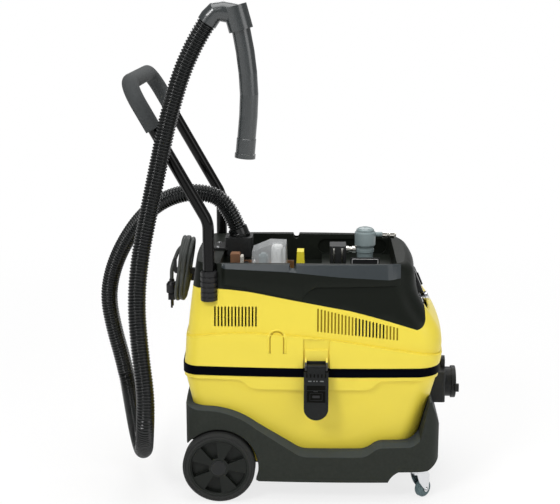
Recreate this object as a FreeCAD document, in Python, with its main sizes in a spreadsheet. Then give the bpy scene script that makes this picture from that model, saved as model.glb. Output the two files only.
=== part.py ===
import FreeCAD, Part
import math
import os

import Sketcher
from FreeCAD import Placement, Rotation, Vector

# Mobile dust extractor: a yellow tub in a black wheeled chassis, a latched motor head with a tool tray,
# a push handle, a suction hose with its bent wand, and the mains cable hung on the rear hook.
# Frame: +X forward, +Y to the left of a person pushing it, +Z up, floor at Z 0, millimetres.

DRIVING_SIZES = [
    # Places along the machine, from the middle of its length without the cords
    ("axle_x", -168),
    ("tub_rear", -77),
    ("tub_front", 480),
    ("tub_half_width", 184),
    ("tub_foot_rear", -36),
    ("tub_foot_front", 428),
    ("tub_foot_half_width", 150),
    ("tub_floor_height", 77),
    ("tub_rim_height", 290),
    ("tub_wall", 4),
    ("tub_step_length", 42),
    ("tub_step_height", 99),
    ("rim_step", 6),
    ("rim_line_high", 281),
    ("rim_line_low", 260),
    ("rim_drop_rear", 44),
    ("rim_drop_front", 355),
    ("rim_drop_run", 32),
    ("side_bulge", 8),
    ("end_bulge", 5),
    ("front_corner", 56),
    ("rear_corner", 38),
    ("seal_height", 21),
    ("seal_width", 20),
    # Chassis
    ("chassis_rear", -75),
    ("chassis_front", 486),
    ("chassis_half_width", 192),
    ("chassis_wall", 5),
    ("chassis_clearance", 1),
    ("skirt_height", 47),
    ("skirt_front", 372),
    ("arch_height", 71),
    ("arch_run", 23),
    ("lip_width", 24),
    ("lip_drop", 10),
    ("rear_top", 214),
    ("front_top", 232),
    ("waist_top", 113),
    ("rear_underside", 123),
    ("axle_boss_radius", 17),
    # Wheels
    ("wheel_diameter", 160),
    ("wheel_width", 36),
    ("wheel_outer_face", 200),
    ("wheel_gap", 5),
    ("tyre_depth", 13),
    ("hub_diameter", 36),
    ("axle_diameter", 16),
    ("running_gap", 0.05),
    ("spoke_count", 5),
    ("spoke_angle", 35),
    ("spoke_phase", 77),
    ("pocket_depth", 16),
    ("caster_x", 440),
    ("caster_y", 160),
    ("caster_diameter", 40),
    ("caster_width", 17),
    ("caster_trail", 17),
    ("caster_turn", 45),
    ("caster_plate_diameter", 44),
    ("caster_plate_thick", 4),
    ("caster_stem_diameter", 10),
    ("caster_stem_height", 20),
    ("caster_pivot_diameter", 8),
    ("caster_fork_top", 66),
    ("caster_fork_wall", 2),
    ("caster_gap", 1.5),
    ("caster_pin_diameter", 5),
    # Inlet
    ("inlet_half_width", 52),
    ("inlet_low", 186),
    ("inlet_high", 258),
    ("inlet_face", 506),
    ("inlet_height", 219),
    ("inlet_bore", 58),
    ("spigot_diameter", 68),
    ("spigot_end", 528),
    ("cap_wall", 2.5),
    ("cap_skirt", 6),
    ("cap_disc", 4),
    ("slide_gap", 0.5),
    ("cap_hinge_y", 42),
    ("hinge_radius", 3.5),
    ("hinge_pin_radius", 1.5),
    ("lug_top", 282),
    # Head
    ("head_rear", -73),
    ("head_front", 483),
    ("head_half_width", 186),
    ("head_wall", 3.5),
    ("shoulder_step", 6),
    ("tray_rim_height", 533),
    ("tray_rear", 4),
    ("tray_front", 384),
    ("tray_half_width", 148),
    ("tray_floor_height", 470),
    ("console_rear", 222),
    ("console_height", 484),
    ("tray_floor_thick", 4),
    ("vent_width", 3.5),
    ("vent_pitch", 7.4),
    ("vent_height", 43),
    ("rear_vent_x", -8),
    ("rear_vent_count", 13),
    ("front_vent_x", 214),
    ("front_vent_count", 24),
    ("open_vent_first", 11),
    ("open_vent_count", 9),
    ("motor_plate_thick", 6),
    ("rear_vent_rise", 0.02),
    ("shoulder_line", 398),
    ("front_vent_low", 391),
    ("front_vent_low_fall", 0.11),
    ("front_vent_high", 440),
    ("front_vent_high_fall", 0.24),
    # Latches
    ("latch_x", 213),
    ("latch_recess_y", 188),
    ("latch_width", 53),
    ("latch_low", 198),
    ("latch_high", 325),
    ("latch_thick", 11),
    ("latch_pin_diameter", 4),
    ("latch_pin_y", 204.5),
    ("latch_pin_height", 317),
    ("latch_barrel", 7.5),
    ("nib_reach", 186),
    ("nib_width", 26),
    ("window_width", 17),
    # Handle
    ("leg_x", -19),
    ("leg_y", 165),
    ("tube_diameter", 25),
    ("sleeve_diameter", 36),
    ("sleeve_low", 454),
    ("sleeve_high", 520),
    ("seat_gap", 0.3),
    ("tube_wall", 1.8),
    ("knee_height", 625),
    ("knee_radius", 60),
    ("handle_lean", 29.5),
    ("bow_length", 319),
    ("bow_corner", 50),
    ("grip_low", 211),
    ("grip_diameter", 35),
    # Front panel, a flat place cut into the front of the head
    ("panel_x", 434),
    ("panel_z", 452),
    ("panel_lean", 22.6),
    ("panel_top", 60),
    ("panel_bottom", 38),
    ("panel_half_width", 110),
    ("panel_thick", 4),
    ("socket_down", -25),
    ("socket_y", -66),
    ("socket_height", 9),
    ("lid_size", 52),
    ("lid_pin_diameter", 3),
    ("coupling_down", 18),
    ("coupling_y", -66),
    ("switch_down", -4),
    ("switch_y", 10),
    ("knob_radius", 16),
    ("dial_down", -4),
    ("dial_y", 66),
    ("dial_radius", 18),
    ("flute_count", 16),
    # Tray items
    ("unit_x", 318),
    ("unit_y", -50),
    ("unit_radius", 23),
    ("coupler_x", 356),
    ("coupler_rise", 93),
    ("valve_x", 240),
    ("valve_y", -60),
    ("blister_y", -70),
    # Motor and filter
    ("motor_x", 205),
    ("motor_radius", 70),
    ("motor_height", 110),
    ("shaft_diameter", 10),
    ("eye_radius", 28),
    ("impeller_radius", 58),
    ("blade_count", 7),
    ("filter_radius", 75),
    ("filter_height", 122),
    ("pleat_count", 40),
    # Rear and cords
    ("hook_height", 484),
    ("hook_end", -115),
    ("hook_half_width", 6),
    ("cable_diameter", 9),
    ("gland_x", -93),
    ("gland_y", 97),
    ("gland_z", 440),
    ("hank_rear", -108),
    ("hank_thick", 30),
    ("hank_lobe", 46.5),
    ("hose_diameter", 39),
    ("hose_bore", 32),
    ("rib_depth", 1.6),
    ("rib_count", 48),
    ("bore_rings", 60),
    ("wand_diameter", 40),
    ("tip_bore", 33.2),
    ("tip_depth", 35),
    ("cuff_x", 37),
]


class Size:
    """A length that holds its value and its formula over the sheet's cells."""

    def __init__(self, value, formula):
        self.value = value
        self.formula = formula

    def __add__(self, other):
        return worked_out(self, "+", other, lambda a, b: a + b)

    def __radd__(self, other):
        return worked_out(other, "+", self, lambda a, b: a + b)

    def __sub__(self, other):
        return worked_out(self, "-", other, lambda a, b: a - b)

    def __rsub__(self, other):
        return worked_out(other, "-", self, lambda a, b: a - b)

    def __mul__(self, other):
        return worked_out(self, "*", other, lambda a, b: a * b)

    def __rmul__(self, other):
        return worked_out(other, "*", self, lambda a, b: a * b)

    def __truediv__(self, other):
        return worked_out(self, "/", other, lambda a, b: a / b)

    def __rtruediv__(self, other):
        return worked_out(other, "/", self, lambda a, b: a / b)

    def __neg__(self):
        return Size(-self.value, "(-1 * " + self.formula + ")")

    def __float__(self):
        return float(self.value)


def as_size(number):
    if isinstance(number, Size):
        return number
    return Size(float(number), "(" + repr(float(number)) + ")")


def worked_out(left, sign, right, sum_of):
    left = as_size(left)
    right = as_size(right)
    formula = "(" + left.formula + " " + sign + " " + right.formula + ")"
    return Size(sum_of(left.value, right.value), formula)


def sine(angle):
    angle = as_size(angle)
    return Size(math.sin(math.radians(angle.value)), "sin(" + angle.formula + ")")


def cosine(angle):
    angle = as_size(angle)
    return Size(math.cos(math.radians(angle.value)), "cos(" + angle.formula + ")")


class SizeSheet:
    """The spreadsheet of driving sizes; each one is read as an attribute."""

    def __init__(self, document, rows):
        self.sheet = document.addObject("Spreadsheet::Sheet", "Sizes")
        for row, (name, number) in enumerate(rows, 1):
            self.sheet.set("A%d" % row, name)
            self.sheet.set("B%d" % row, str(number))
            self.sheet.setAlias("B%d" % row, name)
            setattr(self, name, Size(float(number), "Sizes." + name))
        document.recompute()


doc = FreeCAD.newDocument("dust_extractor")
S = SizeSheet(doc, DRIVING_SIZES)
NODES = {}


def fore(distance):
    """X of a place measured forward from the rear axle."""
    return S.axle_x + distance


def bind(thing, **sizes):
    """Sets properties and ties those that are sizes to the sheet."""
    for name, size in sizes.items():
        size = as_size(size)
        setattr(thing, name, size.value)
        thing.setExpression(name, size.formula)
    return thing


def place(thing, x=0, y=0, z=0, turn=None):
    """Puts an object at x, y, z, tied to the sheet, with a fixed rotation if one is given."""
    at = [as_size(x), as_size(y), as_size(z)]
    rotation = turn or Rotation()
    thing.Placement = Placement(Vector(*[a.value for a in at]), rotation)
    for axis, a in zip("xyz", at):
        thing.setExpression("Placement.Base." + axis, a.formula)
    return thing


def node(thing, label):
    """Marks an object as a finished sub-part under the name of its file."""
    thing.Label = label
    NODES[label] = thing
    return thing


# Sketches


def arc_between(start, end, radius):
    """An arc of circle from start to end; a positive radius turns left, a negative one right."""
    (ax, ay), (bx, by) = start, end
    chord = math.hypot(bx - ax, by - ay)
    rise = math.sqrt(max(radius * radius - chord * chord / 4, 0))
    side = 1 if radius > 0 else -1
    cx = (ax + bx) / 2 - side * rise * (by - ay) / chord
    cy = (ay + by) / 2 + side * rise * (bx - ax) / chord
    if radius < 0:
        (ax, ay), (bx, by) = (bx, by), (ax, ay)
    from_angle = math.atan2(ay - cy, ax - cx)
    to_angle = math.atan2(by - cy, bx - cx)
    if to_angle <= from_angle:
        to_angle += 2 * math.pi
    circle = Part.Circle(Vector(cx, cy, 0), Vector(0, 0, 1), abs(radius))
    return Part.ArcOfCircle(circle, from_angle, to_angle)


PLANES = {"XY": "XY_Plane", "XZ": "XZ_Plane", "YZ": "YZ_Plane"}


def sketch(body, plane, corners, offset=0):
    """A closed outline on one of the body's planes. A corner is (x, y), or (x, y, radius) where the line to
    the next corner is an arc that turns left for a positive radius and right for a negative one."""
    made = body.newObject("Sketcher::SketchObject", body.Name + "Sketch")
    support = [f for f in body.Origin.OriginFeatures if f.Role == PLANES[plane]][0]
    made.AttachmentSupport = [(support, "")]
    made.MapMode = "FlatFace"
    offset = as_size(offset)
    made.AttachmentOffset = Placement(Vector(0, 0, offset.value), Rotation())
    made.setExpression("AttachmentOffset.Base.z", offset.formula)
    count = len(corners)
    points = [(as_size(c[0]), as_size(c[1])) for c in corners]
    ends = []
    for i, corner in enumerate(corners):
        start = (points[i][0].value, points[i][1].value)
        end = (points[(i + 1) % count][0].value, points[(i + 1) % count][1].value)
        if len(corner) == 2:
            made.addGeometry(Part.LineSegment(Vector(*start, 0), Vector(*end, 0)))
            ends.append((1, 2))
        else:
            radius = as_size(corner[2])
            made.addGeometry(arc_between(start, end, radius.value))
            ends.append((1, 2) if radius.value > 0 else (2, 1))
    for i in range(count):
        after = (i + 1) % count
        made.addConstraint(Sketcher.Constraint("Coincident", i, ends[i][1], after, ends[after][0]))
    for i, (x, y) in enumerate(points):
        for kind, size in (("DistanceX", x), ("DistanceY", y)):
            made_at = made.addConstraint(Sketcher.Constraint(kind, -1, 1, i, ends[i][0], size.value))
            made.setExpression("Constraints[%d]" % made_at, size.formula)
    for i, corner in enumerate(corners):
        if len(corner) == 3:
            radius = as_size(corner[2])
            if radius.value < 0:
                radius = -radius
            made_at = made.addConstraint(Sketcher.Constraint("Radius", i, radius.value))
            made.setExpression("Constraints[%d]" % made_at, radius.formula)
    return made


def circle_sketch(body, plane, x, y, radius, offset=0):
    """One circle on one of the body's planes."""
    made = body.newObject("Sketcher::SketchObject", body.Name + "Circle")
    support = [f for f in body.Origin.OriginFeatures if f.Role == PLANES[plane]][0]
    made.AttachmentSupport = [(support, "")]
    made.MapMode = "FlatFace"
    offset, x, y, radius = as_size(offset), as_size(x), as_size(y), as_size(radius)
    made.AttachmentOffset = Placement(Vector(0, 0, offset.value), Rotation())
    made.setExpression("AttachmentOffset.Base.z", offset.formula)
    made.addGeometry(Part.Circle(Vector(x.value, y.value, 0), Vector(0, 0, 1), radius.value))
    for kind, size in (("DistanceX", x), ("DistanceY", y)):
        made_at = made.addConstraint(Sketcher.Constraint(kind, -1, 1, 0, 3, size.value))
        made.setExpression("Constraints[%d]" % made_at, size.formula)
    made_at = made.addConstraint(Sketcher.Constraint("Radius", 0, radius.value))
    made.setExpression("Constraints[%d]" % made_at, radius.formula)
    return made


# Features


def new_body(name):
    return doc.addObject("PartDesign::Body", name)


def pad(body, profile, length, reverse=False, both_ways=False):
    made = body.newObject("PartDesign::Pad", body.Name + "Pad")
    made.Profile = profile
    bind(made, Length=length)
    made.Reversed = reverse
    made.Midplane = both_ways
    return made


def pocket(body, profile, depth, reverse=False, both_ways=False):
    made = body.newObject("PartDesign::Pocket", body.Name + "Pocket")
    made.Profile = profile
    bind(made, Length=depth)
    made.Reversed = reverse
    made.Midplane = both_ways
    return made


def revolve(body, profile, axis, cut=False):
    """Turns a sketch full circle about its own axis, V_Axis or H_Axis."""
    kind = "PartDesign::Groove" if cut else "PartDesign::Revolution"
    made = body.newObject(kind, body.Name + "Turn")
    made.Profile = profile
    made.ReferenceAxis = (profile, [axis])
    made.Angle = 360
    return made


def loft(body, profiles, ruled=False, cut=False):
    kind = "PartDesign::SubtractiveLoft" if cut else "PartDesign::AdditiveLoft"
    made = body.newObject(kind, body.Name + "Loft")
    made.Profile = profiles[0]
    made.Sections = profiles[1:]
    made.Ruled = ruled
    return made


def fused(name, *things):
    made = doc.addObject("Part::MultiFuse", name)
    made.Shapes = list(things)
    return made


def common(name, base, tool):
    made = doc.addObject("Part::Common", name)
    made.Base = base
    made.Tool = tool
    return made


def cut(name, base, *tools):
    made = doc.addObject("Part::Cut", name)
    made.Base = base
    made.Tool = tools[0] if len(tools) == 1 else fused(name + "Tools", *tools)
    return made


ALONG = {
    "x": Rotation(Vector(0, 1, 0), 90),
    "y": Rotation(Vector(1, 0, 0), -90),
    "z": Rotation(),
}


def together(name, *things):
    """Identical small pieces kept as one sub-part."""
    made = doc.addObject("Part::Compound", name)
    made.Links = list(things)
    return made


def box(name, x, y, z):
    """A box from its low and high sides along each axis."""
    made = doc.addObject("Part::Box", name)
    bind(made, Length=x[1] - as_size(x[0]), Width=y[1] - as_size(y[0]), Height=z[1] - as_size(z[0]))
    return place(made, x[0], y[0], z[0])


def rod(name, radius, length, x, y, z, along="z"):
    """A cylinder that starts at x, y, z and runs along an axis."""
    made = doc.addObject("Part::Cylinder", name)
    bind(made, Radius=radius, Height=length)
    return place(made, x, y, z, ALONG[along])


def rounded(x0, x1, y0, y1, radius):
    """Corners of a rectangle with round corners."""
    x0, x1, y0, y1, radius = as_size(x0), as_size(x1), as_size(y0), as_size(y1), as_size(radius)
    return [
        (x0 + radius, y0),
        (x1 - radius, y0, radius),
        (x1, y0 + radius),
        (x1, y1 - radius, radius),
        (x1 - radius, y1),
        (x0 + radius, y1, radius),
        (x0, y1 - radius),
        (x0, y0 + radius, radius),
    ]


# Plan outlines of the moulded shells


def bulged_plan(rear, front, half_width, inset=0, rear_corner=None, front_corner=None):
    """Corners of a shell's plan: long sides and ends swell outward, corners are round. Seen from above it runs
    counter-clockwise from the near rear corner."""
    rear = rear + as_size(inset)
    front = front - as_size(inset)
    half_width = half_width - as_size(inset)
    rear_radius = (rear_corner or S.rear_corner) - as_size(inset)
    front_radius = (front_corner or S.front_corner) - as_size(inset)
    side = half_width - S.side_bulge
    side_length = (front - front_radius) - (rear + rear_radius)
    side_radius = side_length * side_length / (8 * S.side_bulge) + S.side_bulge / 2
    front_length = 2 * (side - front_radius)
    front_arc = front_length * front_length / (8 * S.end_bulge) + S.end_bulge / 2
    rear_length = 2 * (side - rear_radius)
    rear_arc = rear_length * rear_length / (8 * S.end_bulge) + S.end_bulge / 2
    return [
        (rear + rear_radius, -side, side_radius),
        (front - front_radius, -side, front_radius),
        (front, front_radius - side, front_arc),
        (front, side - front_radius, front_radius),
        (front - front_radius, side, side_radius),
        (rear + rear_radius, side, rear_radius),
        (rear, side - rear_radius, rear_arc),
        (rear, rear_radius - side, rear_radius),
    ]


def shell_loft(name, sections, inset=0, ruled=False):
    """A body lofted through plans; each section is (height, rear, front, half width)."""
    body = new_body(name)
    profiles = []
    for height, rear, front, half_width in sections:
        plan = bulged_plan(fore(rear), fore(front), half_width, inset)
        profiles.append(sketch(body, "XY", plan, height))
    loft(body, profiles, ruled)
    return body


def across(name, corners, half_width):
    """A prism whose outline is a side view, running across the machine."""
    body = new_body(name)
    pad(body, sketch(body, "XZ", corners), 2 * as_size(half_width), both_ways=True)
    return body


# Tub: a drafted container with a step over the rear axle and a wider rim whose edge dips round the latches

SIDE_REACH = 2 * S.tub_half_width


def tub_taper(inset):
    return [
        (S.tub_floor_height + inset, S.tub_foot_rear, S.tub_foot_front, S.tub_foot_half_width),
        (S.tub_rim_height, S.tub_rear, S.tub_front, S.tub_half_width),
    ]


def axle_step(name, grow):
    """The space over the rear axle that the tub stays out of."""
    return box(
        name,
        (fore(-S.tub_step_length * 2), fore(S.tub_step_length + grow)),
        (-SIDE_REACH, SIDE_REACH),
        (as_size(0), S.tub_step_height + grow),
    )


def rim_edge_region(name):
    """Side view of all that lies above the edge of the tub's rim."""
    return across(
        name,
        [
            (fore(S.tub_rear * 2), S.rim_line_high),
            (fore(S.rim_drop_rear), S.rim_line_high, -S.rim_drop_run),
            (fore(S.rim_drop_rear + S.rim_drop_run / 2), (S.rim_line_high + S.rim_line_low) / 2, S.rim_drop_run),
            (fore(S.rim_drop_rear + S.rim_drop_run), S.rim_line_low),
            (fore(S.rim_drop_front - S.rim_drop_run), S.rim_line_low, S.rim_drop_run),
            (fore(S.rim_drop_front - S.rim_drop_run / 2), (S.rim_line_high + S.rim_line_low) / 2, -S.rim_drop_run),
            (fore(S.rim_drop_front), S.rim_line_high),
            (fore(S.tub_front * 1.2), S.rim_line_high),
            (fore(S.tub_front * 1.2), S.tub_rim_height),
            (fore(S.tub_rear * 2), S.tub_rim_height),
        ],
        SIDE_REACH,
    )


tub_skin = cut("TubSkin", shell_loft("TubTaper", tub_taper(0), ruled=True), axle_step("TubStep", 0))
rim_band = shell_loft(
    "TubRim",
    [
        (S.rim_line_low - S.rim_step, S.tub_rear + S.rim_step / 2, S.tub_front - S.rim_step / 2, S.tub_half_width + S.rim_step / 2),
        (S.tub_rim_height, S.tub_rear - 1, S.tub_front + 1, S.tub_half_width + S.rim_step),
    ],
    ruled=True,
)
tub_outside = fused("TubOutside", tub_skin, common("TubRimBand", rim_band, rim_edge_region("TubRimEdge")))
tub_hollow = cut(
    "TubHollow",
    shell_loft("TubHollowTaper", [
        (S.tub_floor_height + S.tub_wall, S.tub_foot_rear, S.tub_foot_front, S.tub_foot_half_width),
        (S.tub_rim_height + S.tub_wall, S.tub_rear, S.tub_front, S.tub_half_width),
    ], inset=S.tub_wall, ruled=True),
    axle_step("TubHollowStep", S.tub_wall),
)

# Chassis: the black moulded base, with a sloped lip round the tub, wheel wells and a raised front


def chassis_side(lip_drop):
    """Side view of the chassis; lip_drop lowers its top edge, as on the outer side of the lip."""
    return [
        (fore(S.chassis_rear * 1.2), S.rear_underside),
        (fore(-62), S.rear_underside),
        (fore(-50), S.arch_height),
        (fore(S.tub_step_length), S.arch_height),
        (fore(S.wheel_diameter / 2 + 8), S.skirt_height),
        (fore(S.skirt_front), S.skirt_height, -2 * S.arch_run),
        (fore(S.skirt_front + S.arch_run), S.arch_height),
        (fore(S.chassis_front - 26), S.arch_height, 3 * S.arch_run),
        (fore(S.chassis_front + 4), S.arch_height + S.arch_run),
        (fore(S.chassis_front + 4), S.front_top - 78 - lip_drop),
        (fore(S.chassis_front - 22), S.front_top - lip_drop),
        (fore(S.chassis_front - 26), S.front_top - lip_drop),
        (fore(S.chassis_front - 45), S.waist_top + 36 - lip_drop, -36),
        (fore(S.chassis_front - 70), S.waist_top + 21 - lip_drop),
        (fore(S.skirt_front - 14), S.waist_top + 21 - lip_drop, 40),
        (fore(S.skirt_front - 36), S.waist_top + 11 - lip_drop, -40),
        (fore(S.skirt_front - 62), S.waist_top - lip_drop),
        (fore(S.wheel_diameter / 2 + 114), S.waist_top - lip_drop, -50),
        (fore(S.wheel_diameter / 2 + 84), S.waist_top + 11 - lip_drop),
        (fore(S.wheel_diameter / 2 + 2), S.rear_top - 38 - lip_drop, 170),
        (fore(-16), S.rear_top - 1 - lip_drop),
        (fore(S.chassis_rear * 1.2), S.rear_top - lip_drop),
    ]


def chassis_block():
    """The side view lofted across the machine, its top falling outward along both lips."""
    body = new_body("ChassisBlock")
    outer = S.chassis_half_width + 8
    inner = S.chassis_half_width - S.lip_width
    profiles = [
        sketch(body, "XZ", chassis_side(S.lip_drop), outer),
        sketch(body, "XZ", chassis_side(as_size(0)), inner),
        sketch(body, "XZ", chassis_side(as_size(0)), -inner),
        sketch(body, "XZ", chassis_side(S.lip_drop), -outer),
    ]
    loft(body, profiles, ruled=True)
    return body


def plan_prism(name, rear, front, half_width, low, high, inset=0, rear_corner=None, front_corner=None):
    body = new_body(name)
    plan = bulged_plan(fore(rear), fore(front), half_width, inset, rear_corner, front_corner)
    pad(body, sketch(body, "XY", plan, low), high - as_size(low))
    return body


chassis_skin = common(
    "ChassisSkin",
    chassis_block(),
    plan_prism("ChassisPlan", S.chassis_rear, S.chassis_front, S.chassis_half_width, 0, S.front_top + 20),
)
tub_seat = cut(
    "TubSeat",
    shell_loft("TubSeatTaper", tub_taper(0), inset=-S.chassis_clearance, ruled=True),
    axle_step("TubSeatStep", -S.chassis_clearance),
)
WELL_RADIUS = S.wheel_diameter / 2 + S.wheel_gap
WELL_DEPTH = S.wheel_width + 24


def wheel_well(name, side):
    y = -SIDE_REACH if side < 0 else S.wheel_outer_face - WELL_DEPTH
    return rod(name, WELL_RADIUS, SIDE_REACH - S.wheel_outer_face + WELL_DEPTH, S.axle_x + 2, y, S.wheel_diameter / 2, "y")


def under_side_hollow():
    """The space under the chassis floor, inside its skirt."""
    body = new_body("UnderSide")
    plan = [
        (fore(S.tub_step_length + S.chassis_wall), -S.chassis_half_width + 2 * S.side_bulge + S.chassis_wall),
        (fore(S.skirt_front), -S.chassis_half_width + 2 * S.side_bulge + S.chassis_wall),
        (fore(S.skirt_front), S.chassis_half_width - 2 * S.side_bulge - S.chassis_wall),
        (fore(S.tub_step_length + S.chassis_wall), S.chassis_half_width - 2 * S.side_bulge - S.chassis_wall),
    ]
    pad(body, sketch(body, "XY", plan, 0), S.arch_height)
    return body


axle_bosses = fused("AxleBosses", *[
    rod(
        "AxleBoss",
        S.axle_boss_radius,
        S.wheel_width,
        S.axle_x,
        side * (S.wheel_outer_face - 1.5 * S.wheel_width - 0.5) - S.wheel_width / 2,
        S.wheel_diameter / 2,
        "y",
    )
    for side in (-1, 1)
])
chassis_shell = cut(
    "ChassisShell",
    chassis_skin,
    tub_seat,
    wheel_well("WellRight", -1),
    wheel_well("WellLeft", 1),
    under_side_hollow(),
    box(
        "InletGap",
        (fore(S.tub_foot_front), fore(S.chassis_front * 1.1)),
        (-S.inlet_half_width - S.chassis_clearance, S.inlet_half_width + S.chassis_clearance),
        (S.inlet_low - S.chassis_clearance, S.front_top + 20),
    ),
)
caster_bores = [
    rod("CasterBore", S.caster_stem_diameter / 2, S.caster_stem_height, fore(S.caster_x), side * S.caster_y, S.arch_height - 1)
    for side in (-1, 1)
]
chassis = cut(
    "Chassis",
    fused("ChassisWithBosses", chassis_shell, axle_bosses),
    rod("AxleBore", S.axle_diameter / 2, 2 * SIDE_REACH, S.axle_x, -SIDE_REACH, S.wheel_diameter / 2, "y"),
    *caster_bores,
)
node(chassis, "chassis")

# Seal: the dark ring between tub and head

SEAL_TOP = S.tub_rim_height + S.seal_height
seal = cut(
    "Seal",
    plan_prism("SealPlan", S.tub_rear - 2, S.tub_front + 2, S.tub_half_width + S.rim_step + 1, S.tub_rim_height, SEAL_TOP),
    plan_prism("SealInside", S.tub_rear - 2, S.tub_front + 2, S.tub_half_width + S.rim_step + 1, S.tub_rim_height, SEAL_TOP, inset=S.seal_width),
)
node(seal, "head_seal")

# Head: one smooth hull, split along a falling line into the yellow cover and the black tray above it


def hull(name, inset=0):
    return shell_loft(
        name,
        [
            (SEAL_TOP, S.head_rear, S.head_front, S.head_half_width),
            (SEAL_TOP + 36, S.head_rear + 3, S.head_front + 3, S.head_half_width),
            (SEAL_TOP + 82, S.head_rear + 6, S.head_front - 7, S.head_half_width - 3),
            (SEAL_TOP + 121, S.head_rear + 10, S.head_front - 34, S.head_half_width - 8),
            (SEAL_TOP + 169, S.head_rear + 16, S.head_front - 54, S.head_half_width - 14),
            (S.tray_rim_height, S.head_rear + 23, S.head_front - 80, S.head_half_width - 23),
        ],
        inset,
    )


def shoulder(name):
    """The wider lower part of the head, below a shoulder that falls towards the front."""
    wide = shell_loft(
        name + "Loft",
        [
            (SEAL_TOP, S.head_rear - 3, S.head_front, S.head_half_width + S.shoulder_step + 1),
            (SEAL_TOP + 36, S.head_rear, S.head_front + 4.5, S.head_half_width + S.shoulder_step + 1),
            (SEAL_TOP + 82, S.head_rear + 2, S.head_front - 4, S.head_half_width + S.shoulder_step - 2),
        ],
    )
    below = across(
        name + "Below",
        [
            (fore(S.head_rear * 1.5), SEAL_TOP),
            (fore(S.head_front * 1.1), SEAL_TOP),
            (fore(S.head_front * 1.1), SEAL_TOP + 16),
            (fore(330), SEAL_TOP + 49, 1500),
            (fore(112), SEAL_TOP + 73, 700),
            (fore(S.head_rear * 1.5), SEAL_TOP + 52),
        ],
        SIDE_REACH,
    )
    return common(name, wide, below)


def tray_region(name):
    """Side view of all that lies above the line between the yellow cover and the black tray."""
    return across(
        name,
        [
            (fore(S.head_rear * 1.5), S.tray_floor_height + 9),
            (fore(1), S.tray_floor_height + 9, -600),
            (fore(91), S.tray_floor_height),
            (fore(284), S.tray_floor_height - 35, -1600),
            (fore(392), S.tray_floor_height - 65),
            (fore(428), S.tray_floor_height - 76, 22),
            (fore(447), S.tray_floor_height - 50, 60),
            (fore(436), S.tray_floor_height - 10),
            (fore(S.head_front * 1.1), S.tray_floor_height - 10),
            (fore(S.head_front * 1.1), S.tray_rim_height + 20),
            (fore(S.head_rear * 1.5), S.tray_rim_height + 20),
        ],
        SIDE_REACH,
    )


head_hull = hull("HeadHull")
head_hollow = hull("HeadHollow", S.head_wall)
tray_top_region = tray_region("TrayRegion")


def socket_rod(name, radius, low, high, side):
    """An upright cylinder on the line of a handle leg."""
    return rod(name, radius, high - as_size(low), fore(S.leg_x), side * S.leg_y, low)


def vent_slots(name, first_x, count, low, high):
    """A row of upright slots through both sides of the head."""
    slots = []
    for i in range(count):
        x = first_x + i * S.vent_pitch
        slots.append(box(name, (fore(x), fore(x) + S.vent_width), (-SIDE_REACH, SIDE_REACH), (low(x), high(x))))
    return fused(name + "Row", *slots)


handle_bosses = common(
    "HandleBosses",
    head_hull,
    fused("BossRods", *[
        socket_rod("BossRod", S.sleeve_diameter / 2 + 4, S.sleeve_low - 6, S.tray_floor_height + 40, side) for side in (-1, 1)
    ]),
)
handle_channels = fused("HandleChannels", *[
    socket_rod("ChannelRod", S.sleeve_diameter / 2 + S.seat_gap, S.sleeve_low - S.seat_gap, S.tray_rim_height + 40, side) for side in (-1, 1)
])
cover_shell = cut("CoverShell", fused("HeadSolid", head_hull, shoulder("HeadShoulder")), head_hollow)
rear_vents = vent_slots(
    "RearVent",
    S.rear_vent_x,
    int(S.rear_vent_count.value),
    lambda x: S.shoulder_line + x * S.rear_vent_rise,
    lambda x: S.shoulder_line + S.vent_height + x * S.rear_vent_rise,
)
open_vents = vent_slots(
    "OpenVent",
    S.front_vent_x + S.open_vent_first * S.vent_pitch,
    int(S.open_vent_count.value),
    lambda x: S.front_vent_low - (x - S.front_vent_x) * S.front_vent_low_fall,
    lambda x: S.front_vent_high - (x - S.front_vent_x) * S.front_vent_high_fall,
)
latch_recess = fused("LatchRecess", *[
    box(
        "RecessBox",
        (fore(S.latch_x - S.latch_width / 2 - 2), fore(S.latch_x + S.latch_width / 2 + 2)),
        (side * (S.latch_recess_y + 12) - 12, side * (S.latch_recess_y + 12) + 12),
        (SEAL_TOP, SEAL_TOP + 64),
    )
    for side in (-1, 1)
])
head_cover = cut(
    "HeadCover",
    fused("CoverWithBosses", cover_shell, handle_bosses),
    tray_top_region,
    handle_channels,
    rear_vents,
    open_vents,
    latch_recess,
)

tray_bay = box(
    "TrayBay",
    (fore(S.tray_rear), fore(S.console_rear)),
    (-S.tray_half_width, S.tray_half_width),
    (S.tray_floor_height, S.tray_rim_height + 10),
)
console_bay = box(
    "ConsoleBay",
    (fore(S.console_rear - 1), fore(S.tray_front)),
    (-S.tray_half_width, S.tray_half_width),
    (S.console_height, S.tray_rim_height + 10),
)
tray_pan = box(
    "TrayPan",
    (fore(S.tray_rear - S.tray_floor_thick), fore(S.console_rear + S.tray_floor_thick)),
    (-S.tray_half_width - S.tray_floor_thick, S.tray_half_width + S.tray_floor_thick),
    (S.tray_floor_height - S.tray_floor_thick, S.tray_floor_height + 12),
)
under_tray = common(
    "UnderTray",
    head_hollow,
    box(
        "UnderTrayBox",
        (fore(S.head_rear), fore(S.head_front)),
        (-SIDE_REACH, SIDE_REACH),
        (SEAL_TOP, S.tray_floor_height - S.tray_floor_thick),
    ),
)
wall_recess = new_body("WallRecess")
pad(wall_recess, sketch(wall_recess, "XZ", rounded(
    fore(213), fore(376), S.console_height + 2, S.console_height + 37, 17,
), -S.tray_half_width), 4, reverse=True)
rim_notches = []
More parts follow.
